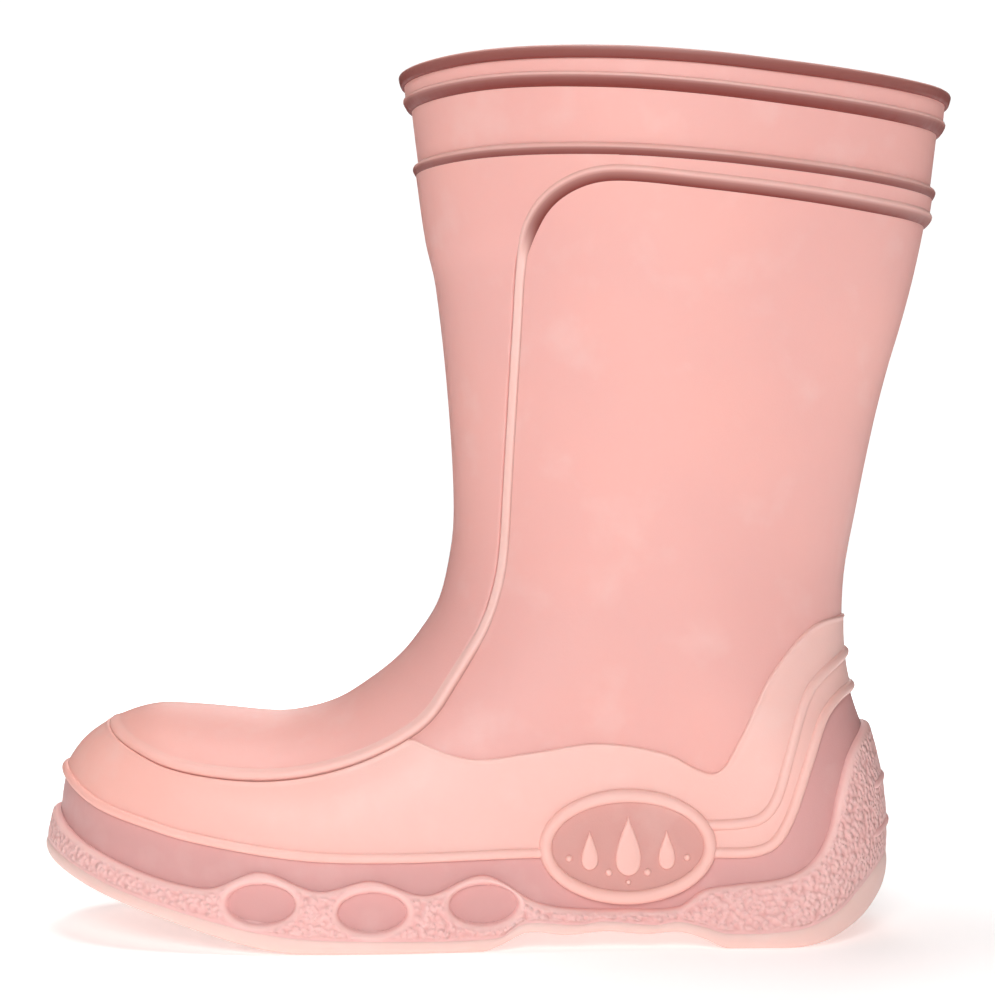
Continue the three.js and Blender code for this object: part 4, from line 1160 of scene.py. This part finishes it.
# ---- Sole
WINDOWS = [(-72.4, 15.1), (-38.4, 12.6), (-4.4, 14.5)]
WINDOW_HALF = (10.3, 5.9)
WINDOW_FLOOR = -0.5  # mm, how deep the wall sinks inside a window
WALL_ROUNDING, WINDOW_ROUNDING = 1.5, 1.8  # mm, of the wall's upper edge and of its windows
LUG_SPACING, LUG_WIDTH = 11, 7.6  # mm along the tread
LUG_END = 6.3  # mm from a lug's middle point to its farthest end along the tread
LUG_ROOT = 0.2  # mm of a lug's height that is sunk in the tread


def window_distance(x, z):
    """Distance outside the nearest oval window, negative within it."""
    nearest = np.full(x.shape, 1e3)
    a, b = WINDOW_HALF
    for cx, cz in WINDOWS:
        dx, dz = x - cx, z - cz
        e = np.sqrt((dx / a) ** 2 + (dz / b) ** 2) + 1e-6
        slope = np.sqrt((dx / a**2) ** 2 + (dz / b**2) ** 2) / e + 1e-6
        nearest = np.minimum(nearest, (e - 1) / slope)
    return nearest


def wall_shares():
    """Column shares from toe to heel, closer together over the oval windows."""
    fine = np.linspace(0, 1, 4001)
    x = lerp(-145, 124, (1 - np.cos(np.pi * fine)) / 2)
    density = np.where((x > -86) & (x < 9), 1 / 0.3, 1 / 0.62)
    speed = np.abs(np.gradient(x, fine)) + 30
    grown_count = np.r_[0, np.cumsum((density * speed)[1:] * np.diff(fine))]
    count = int(grown_count[-1])
    at = np.interp(np.linspace(0, grown_count[-1], count + 1), grown_count, fine)
    return (1 - np.cos(np.pi * at)) / 2


def outsole_wall(sizes):
    """The grained wall with rounded upper edge and three oval windows on each side."""
    shares = wall_shares()
    rows = np.r_[np.linspace(0, 0.9, 44), np.linspace(0.9, 1, 9)[1:]]
    low = raised(tread_top, -0.4)
    x, z = level_rows(between(low, texture_top, rows), shares)
    slope = np.gradient(texture_top(x[-1]), x[-1])
    drop = (texture_top(x) - z) / np.sqrt(1 + slope[None] ** 2)
    window = window_distance(x, z)
    full = sizes.wall_proud
    out = rounded_edge(drop, WALL_ROUNDING, full, WINDOW_FLOOR)
    lip = full * 0.12 * np.exp(-((window - 1.5) / 1.1) ** 2)
    hole = rounded_edge(window, WINDOW_ROUNDING, 1, 0) * (out + lip)
    hole = np.where(window > 0, np.maximum(hole, -0.4), WINDOW_FLOOR)
    out = np.where(window < WINDOW_ROUNDING, hole, out + lip)
    smooth_lip = smoothstep(drop, 0.9, 2.4) * smoothstep(window, 1.2, 2.8)
    grain = smooth_lip * smoothstep(z - tread_top(x), 0.2, 1.2)
    # Painted shade: a faint dark tone along the wall's upper edge and round the windows' rims.
    crease = np.clip(0.2 - drop / 0.8, 0, 0.1) + np.clip(0.3 - np.abs(window + 0.2) / 0.5, 0, 0.1)
    # Painted highlight: this marks the smooth rounded lips along the wall's upper edge and round the windows, which
    # the material paints paler.
    near_edge = np.maximum(1 - smoothstep(drop, 1.0, 2.3), 1 - smoothstep(window, 1.0, 2.6))
    lip_highlight = near_edge * smoothstep(drop, 0.1, 0.6) * smoothstep(window, 0.1, 0.8)
    sides = []
    for side in (LATERAL, MEDIAL):
        stretched = skin(x, z, side, 0).reshape(-1, 3) * [1, 1, 0.75]
        rough = value_noise(stretched, 0.62, 3) + 0.6 * value_noise(stretched, 1.25, 7)
        ridges = 1 - np.abs(rough.reshape(x.shape) / 0.8 - 1)
        sides.append(skin(x, z, side, out + grain * sizes.grain_depth * (2 * ridges - 1)))
    outer = np.concatenate([sides[0], sides[1][:, -2:0:-1]], axis=1)
    return backed_shell(x, z, outer, 13, 1.2, grain=grain, lip=lip_highlight, crease=crease)


def rand_wall():
    """The smooth side wall, with painted shade just under the feather line."""
    low, high = raised(tread_top, -1), height_of(beside(feather_line, 1))
    x, z = level_rows(between(low, high, np.linspace(0, 1, 40)), both_ends(220))
    depth = height_of(feather_line)(x) - z
    # Painted shade: a darker band just under the feather line, where the bead and galosh above overhang.
    crease = np.clip(0.75 - depth / 1.6, 0, 0.6) * (depth > -0.2)
    return backed_shell(x, z, around(x, z, 0.0), 5, crease=crease)


def tread_plate(sizes):
    """The tread with its rounded edge and a recess under the foot for the lugs."""
    shares = both_ends(200)
    recess = sizes.lug_height
    parts = []

    def loop(level, out):
        x, z = level_rows([level], shares)
        parts.append(around(x, z, out, True)[0])

    for rise, out in ((recess, -9), (recess, -6.9), (0.3, -6.2), (0, -5.9), (0, 0.6)):
        loop(raised(tread_bottom, rise), out)
    for share in np.linspace(0.03, 0.97, 15):
        bulge = np.sqrt(1 - (2 * share - 1) ** 2)
        level = between(tread_bottom, raised(tread_top, 0.3), [share])[0]
        loop(level, lerp(1.4, sizes.tread_proud, bulge))
    loop(raised(tread_top, 0.3), 1.2)
    loop(raised(tread_top, 0.3), -2)
    return stack_solid(np.array(parts))


def lug_places(sizes):
    """Middle points, half lengths and tilts of the chevron lugs."""
    x = np.r_[np.arange(-117.5, -5, LUG_SPACING), np.arange(76.5, 100, LUG_SPACING)]
    half = np.sqrt(np.maximum(inside(x, np.full(x.shape, 16.0)), 0)) - 8.5
    slope = (tread_bottom(x + 5) - tread_bottom(x - 5)) / 10
    ends = [x - LUG_END, x, x + LUG_END]
    rise = np.max([tread_bottom(end) - tread_bottom(x) - slope * (end - x) for end in ends], axis=0)
    z = tread_bottom(x) + rise + sizes.lug_height / 2 + 0.1
    points = np.column_stack([x - 2.5, centre_line(x, 10), z])
    return points, half, -np.arctan(slope)


def kick_ridge(name, low, high, start):
    """A short ridge round the back of the heel, from one side to the other."""
    line = np.array([(x, lerp(low, high, (x - start) / 8)) for x in np.linspace(start, 134, 80)])
    x, z = stations_of(line, None, 1)
    sides = [skin(x, z, side, 1.95) for side in (LATERAL, MEDIAL)]
    share = np.linspace(0, 1, 2 * len(x) - 1)[:len(x)]
    width = 0.25 + 0.75 * np.clip(np.sin(np.pi * share) * 2.2, 0, 1)
    return rolled(name, sides, width, 1.3, 18, "texture")


# ---- Badge
BADGE_CENTRE = np.array([40.4, 31.5])
BADGE_OUTER = np.array([27.6, 17.8])
BADGE_INNER = np.array([23.6, 13.6])
PLATE_STEPS = [(0.2, SUNK), (0.6, SUNK), (1, SUNK), (1, 1.1), (0.9, 1.25), (0.6, 1.3), (0.25, 1.3)]
DROP_STEPS = [(0.3, 0.6), (1, 0.6), (1, 2.0), (0.95, 2.25), (0.86, 2.38), (0.5, 2.46), (0.2, 2.5)]
SPLASH_STEPS = [(0.4, 0.6), (1, 0.6), (1, 1.7), (0.8, 2.1), (0.4, 2.3)]


def ellipse(halves):
    angle = np.linspace(0, 2 * np.pi, 120, endpoint=False)
    return BADGE_CENTRE + np.column_stack([halves[0] * np.cos(angle), halves[1] * np.sin(angle)])


def badge_ring(side):
    """The oval frame, round in section."""
    turn = np.linspace(0, np.pi, 11)
    rise = zip((1 - np.cos(turn)) / 2, 1.1 + 1.9 * np.sin(turn))
    loops = []
    for share, out in [(0, SUNK), *rise, (1, SUNK)]:
        p = ellipse(lerp(BADGE_INNER, BADGE_OUTER, share))
        loops.append(skin(p[:, 0], p[:, 1], side, out))
    return ring_shell(np.array(loops))


def patch(outline, middle, side, profile):
    """A low solid on the skin: its outline shrinks to the middle by shares at given heights."""
    loops = []
    for share, out in profile:
        p = middle + (outline - middle) * share
        loops.append(skin(p[:, 0], p[:, 1], side, out))
    return dome_solid(np.array(loops))


def raindrop(x, z, size):
    """Outline of a drop with its point up, and the middle of its round part."""
    t = np.linspace(0, 2 * np.pi, 48, endpoint=False)
    width = 0.62 * size * np.sin(t) * np.sin(t / 2) ** 1.6
    return np.column_stack([x + width, z + size * np.cos(t)]), np.array([x, z - 0.3 * size])


DROPS = [(40.4, 31.8, 9.2), (28.4, 30.4, 6.0), (52.4, 30.4, 6.0)]
SPLASHES = [
    (34.4, 23.6, 1.1), (46.4, 23.6, 1.1), (40.4, 20.6, 0.8), (22.0, 28.0, 1.0), (58.8, 28.0, 1.0)]


def badge_motif(side):
    """Three raindrops and their splashes, raised on the plate."""
    solids = []
    for x, z, size in DROPS:
        outline, middle = raindrop(x, z, size)
        solids.append(patch(outline, middle, side, DROP_STEPS))
    for x, z, size in SPLASHES:
        t = np.linspace(0, 2 * np.pi, 20, endpoint=False)
        outline = np.column_stack([x + size * np.cos(t), z + size * np.sin(t)])
        solids.append(patch(outline, np.array([x, z]), side, SPLASH_STEPS))
    points, faces, offset = [], [], 0
    for p, f in solids:
        points.append(p)
        faces.append(f + offset)
        offset += len(p)
    return np.concatenate(points), np.concatenate(faces)


# ---- Inside


def lining():
    """The textile sock: rows from the floor, over the toe and the instep, and up to the mouth."""
    front = through((0, 30), (0.12, 45), (0.3, 60), (0.42, 66), (0.5, 82), (0.62, 120), (1, 262))
    back = through((0, 28), (0.12, 36), (0.3, 47), (0.42, 60), (0.5, 78), (0.62, 118), (1, 258))
    top = raised(rim_top, -3)
    levels = []
    for share in np.linspace(0, 1, 90):
        blend, above = smoothstep(share, 0, 0.12), smoothstep(share, 0.75, 1.0)

        def level(x, ends=(front(share), back(share)), blend=blend, above=above):
            floor = lining_floor(x)
            tilted = lerp(*ends, np.clip((x + 140) / 260, 0, 1.2))
            return lerp(lerp(floor, np.maximum(tilted, floor), blend), top(x), above)

        levels.append(level)
    x, z = level_rows(levels, both_ends(110))
    outer, inner = around(x, z, -3.7), around(x, z, -5.8)
    ground = lambda p, rise: np.maximum(p[..., 2], lining_floor(p[..., 0]) + rise)
    outer[..., 2] = ground(outer, 0)
    inner[..., 2] = ground(inner, 1.4)
    return stack_solid(np.concatenate([outer, inner[::-1]]))


def insole():
    """The loose foam insole, with a rounded rim and a slightly sunken middle."""
    shares = both_ends(140)
    rim = [(0, -15), (0.3, -14), (1.2, -13.6), (2.8, -13.6), (3.6, -14), (4, -15), (4.1, -18),
           (3.6, -24)]
    parts = []
    for rise, out in rim:
        x, z = level_rows([raised(insole_floor, rise)], shares)
        parts.append(around(x, z, out, True)[0])
    return stack_solid(np.array(parts))


# ---- Operators


def add_piece(name, shape, finish, slot, *nodes, sharp=50):
    """Makes and declares a piece from its points, faces and, where it has them, marks."""
    points, faces, *marks = shape
    obj = make_object(name, points, faces, MATERIALS[finish], *(marks or [None]), sharp)
    return finish_piece(obj, slot, *nodes)


class BuildOperator:
    """What every step shares."""
    bl_options = {"REGISTER", "UNDO"}

    def execute(self, context):
        self.build(context.scene.boot_sizes, context.scene.boot_colours)
        return {"FINISHED"}


class BOOT_OT_finishes(BuildOperator, bpy.types.Operator):
    """Makes the rubbers and fabrics, and paints the hidden parts"""
    bl_idname = "boot.finishes"
    bl_label = "Finishes"

    def build(self, sizes, colours):
        make_materials(colours)
        TREES["bead"] = bead_tree()
        TREES["lug"] = lug_tree()
        hidden = {"heel_stiffener": "board", "insole_board": "board", "shank": "steel",
                  "midsole": "filler"}
        for node, finish in hidden.items():
            slots = frame["nodes"][node].data.materials
            slots.clear()
            slots.append(MATERIALS[finish])


class BOOT_OT_upper(BuildOperator, bpy.types.Operator):
    """Builds the leg quarter, the front panel and the galosh"""
    bl_idname = "boot.upper"
    bl_label = "Upper"

    def build(self, sizes, colours):
        add_piece("leg_quarter", leg_quarter(sizes), "leg", "leg_rubber", "leg_shell")
        add_piece("front_panel_skin", front_panel(sizes), "leg", "leg_rubber", "front_panel")
        add_piece("galosh_skin", galosh(sizes), "foot", "foot_rubber", "galosh")


class BOOT_OT_cuff(BuildOperator, bpy.types.Operator):
    """Builds the cuff, the rim and the two ribs"""
    bl_idname = "boot.cuff"
    bl_label = "Cuff"

    def build(self, sizes, colours):
        add_piece("cuff_skin", top_cuff(sizes), "leg", "leg_rubber", "top_cuff")
        rings = (
            ("rim_lip", raised(rim_top, -2), RIM, RIM_PAINTED_SHADE, "rim_binding"),
            ("rib_upper_ring", rib_upper_line, RIB_UPPER, RIB_PAINTED_SHADE, "rib_upper"),
            ("rib_lower_ring", rib_lower_line, RIB_LOWER, RIB_PAINTED_SHADE, "rib_lower"))
        for name, level, section, crease, node in rings:
            add_piece(name, ring_piece(level, section, crease), "trim", "trim_rubber", node)


class BOOT_OT_beads(BuildOperator, bpy.types.Operator):
    """Builds the panel bead, the toe bead and the heel strips"""
    bl_idname = "boot.beads"
    bl_label = "Beads"

    def build(self, sizes, colours):
        add_piece("panel_bead_roll", panel_bead(), "trim", "trim_rubber", "panel_bead")
        toe = bead_piece("toe_bead_roll", feather_line, 0.55, sizes.toe_bead,
                         lambda x, z: 16 - x, (1, 0.6))
        finish_piece(toe, "trim_rubber", "toe_bead")
        for node, line, start in (("heel_strip_upper", heel_line, 64),
                                  ("heel_strip_lower", feather_line, 66)):
            strip = bead_piece(node + "_roll", line, 0.25, sizes.heel_bead,
                               lambda x, z, start=start: x - start, (0.6, 1))
            finish_piece(strip, "trim_rubber", node)


class BOOT_OT_sole(BuildOperator, bpy.types.Operator):
    """Builds the rand, the grained wall, the tread, its lugs and the kick ridges"""
    bl_idname = "boot.sole"
    bl_label = "Sole"

    def build(self, sizes, colours):
        add_piece("rand_skin", rand_wall(), "rand", "rand_rubber", "rand")
        add_piece("outsole_wall_grained", outsole_wall(sizes), "texture", "textured_rubber",
                  "outsole_wall", sharp=80)
        add_piece("tread_plate", tread_plate(sizes), "tread", "tread_rubber", "tread_sole")
        places, reach, tilt = lug_places(sizes)
        values = {"Width": LUG_WIDTH / 1000, "Height": (sizes.lug_height + LUG_ROOT) / 1000,
                  "Lead": 0.005, "Rubber": MATERIALS["tread"]}
        marks = {"reach": reach / 1000, "tilt": tilt}
        lugs = grown("tread_lugs", places, [], marks, TREES["lug"], values, 30)
        finish_piece(lugs, "tread_rubber")
        for node, low, high, start in (("kick_ridge_upper", 47, 51, 118),
                                       ("kick_ridge_lower", 32, 36, 117)):
            ridge = kick_ridge(node + "_roll", low, high, start)
            finish_piece(ridge, "textured_rubber", node)


class BOOT_OT_badges(BuildOperator, bpy.types.Operator):
    """Builds the oval badges on both sides"""
    bl_idname = "boot.badges"
    bl_label = "Badges"

    def build(self, sizes, colours):
        for side, word in ((LATERAL, "lateral"), (MEDIAL, "medial")):
            add_piece("badge_frame_" + word, badge_ring(side), "trim", "trim_rubber",
                      "badge_ring_" + word)
            plate = patch(ellipse(BADGE_INNER + 0.8), BADGE_CENTRE, side, PLATE_STEPS)
            add_piece("badge_field_" + word, plate, "plate", "foot_rubber", "badge_plate_" + word)
            add_piece("badge_motif_" + word, badge_motif(side), "trim", "trim_rubber", sharp=40)


class BOOT_OT_inside(BuildOperator, bpy.types.Operator):
    """Builds the lining and the insole"""
    bl_idname = "boot.inside"
    bl_label = "Inside"

    def build(self, sizes, colours):
        add_piece("lining_knit", lining(), "lining", "lining_fabric", "lining_sock")
        foam = add_piece("insole_foam", insole(), "foam", "insole_foam", "insole")
        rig.padded(foam, fill=0.95)


def area_light(name, place, target, size, power):
    data = bpy.data.lights.new(name, "AREA")
    data.shape = "DISK"
    data.size = size
    data.energy = power
    light = bpy.data.objects.new(name, data)
    light.location = place
    light.rotation_euler = (Vector(target) - Vector(place)).to_track_quat("-Z", "Y").to_euler()
    bpy.context.scene.collection.objects.link(light)


def sheet_of_points(name, profile, material):
    """A wide stage sheet along X through (y, z) points."""
    points = [(x, y, z) for y, z in profile for x in (-9.0, 9.0)]
    faces = [(2 * k, 2 * k + 1, 2 * k + 3, 2 * k + 2) for k in range(len(profile) - 1)]
    mesh = bpy.data.meshes.new(name)
    mesh.from_pydata(points, [], faces)
    mesh.materials.append(material)
    obj = bpy.data.objects.new(name, mesh)
    bpy.context.scene.collection.objects.link(obj)
    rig.stage(obj)
    return obj


class BOOT_OT_stage(BuildOperator, bpy.types.Operator):
    """Sets the floor, the backdrop, the lights and the camera"""
    bl_idname = "boot.stage"
    bl_label = "Stage"

    def build(self, sizes, colours):
        scene = bpy.context.scene
        # The floor glows though it is no lamp: faintly near the boot, lightening its cast shadow and the boot's
        # underside, and fully farther out so that it reads white.
        glowing_floor = Shader("studio floor")
        glowing_floor.set(Base_Color=colour("F9F7F6"), Roughness=0.9, Emission_Color=(1, 1, 1, 1))
        away = glowing_floor.node("ShaderNodeVectorMath", {"operation": "LENGTH"}, Vector=glowing_floor.place())
        glowing_floor.set(Emission_Strength=glowing_floor.ramp(away.outputs["Value"], 0.22, 0.8, 0.38, 1.05))
        glow = Shader("studio backdrop")
        glow.set(Base_Color=(0, 0, 0, 1), Roughness=1.0, Emission_Color=(1, 1, 1, 1),
                 Emission_Strength=1.05)
        level = -0.0002  # m, just under the tread, so that no face of the boot meets the floor's
        sheet_of_points("studio_floor", [(-0.8, level), (0.8, level)], glowing_floor.material)
        far_sheets = [
            sheet_of_points("studio_floor_front", [(-8, level), (-0.8, level)], glowing_floor.material),
            sheet_of_points("studio_floor_back", [(0.8, level), (8, level)], glowing_floor.material),
            sheet_of_points("studio_backdrop", [(8, level), (8.6, 0.4), (8.8, 1.2), (8.8, 9)],
                            glow.material)]
        for sheet in far_sheets:
            sheet.visible_diffuse = sheet.visible_glossy = False
        world = bpy.data.worlds.new("studio air")
        world.use_nodes = True
        world.node_tree.nodes["Background"].inputs["Color"].default_value = (1, 1, 1, 1)
        world.node_tree.nodes["Background"].inputs["Strength"].default_value = 1.0
        scene.world = world
        world.cycles_visibility.diffuse = False
        world.cycles_visibility.glossy = False
        area_light("key", (-0.15, -1.6, 0.95), (0, 0, 0.12), 0.7, 16)
        area_light("fill", (0.05, -1.8, 0.35), (0.02, 0, 0.14), 1.0, 4.2)
        area_light("top", (-0.1, 0.1, 1.7), (0, 0, 0.1), 0.8, 13.5)
        area_light("back", (0.1, 1.6, 0.9), (0, 0, 0.15), 1.2, 9)
        scene.view_settings.view_transform = "Standard"
        scene.view_settings.look = "None"
        camera = bpy.data.cameras.new("camera")
        camera.lens, camera.sensor_width = 82.34, 36.0
        view = bpy.data.objects.new("camera", camera)
        view.location = (SKIN_SHIFT / 1000, -0.750, 0.139)
        view.rotation_euler = (math.pi / 2, 0, 0)
        scene.collection.objects.link(view)
        scene.camera = view


STEPS = (BOOT_OT_finishes, BOOT_OT_upper, BOOT_OT_cuff, BOOT_OT_beads, BOOT_OT_sole, BOOT_OT_badges,
         BOOT_OT_inside, BOOT_OT_stage)


class BOOT_PT_panel(bpy.types.Panel):
    """Lists the boot's settings and steps"""
    bl_idname = "BOOT_PT_panel"
    bl_label = "Wellington boot"
    bl_space_type = "VIEW_3D"
    bl_region_type = "UI"
    bl_category = "Boot"

    def draw(self, context):
        for group in (context.scene.boot_sizes, context.scene.boot_colours):
            for key in group.__annotations__:
                self.layout.prop(group, key)
        for step in STEPS:
            self.layout.operator(step.bl_idname)


CLASSES = (BootSizes, BootColours, *STEPS, BOOT_PT_panel)


def register():
    for cls in CLASSES:
        bpy.utils.register_class(cls)
    bpy.types.Scene.boot_sizes = bpy.props.PointerProperty(type=BootSizes)
    bpy.types.Scene.boot_colours = bpy.props.PointerProperty(type=BootColours)


def unregister():
    del bpy.types.Scene.boot_sizes, bpy.types.Scene.boot_colours
    for cls in reversed(CLASSES):
        bpy.utils.unregister_class(cls)


def main():
    register()
    for step in STEPS:
        group, name = step.bl_idname.split(".")
        getattr(getattr(bpy.ops, group), name)()
    bpy.context.view_layer.update()
    boxes = {"cad": [list(corner) for corner in CAD_BOX],
             "visual": [list(corner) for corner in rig.bounds()]}
    with open("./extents.json", "w") as out:
        json.dump(boxes, out, indent=1)


if __name__ == "__main__":
    main()
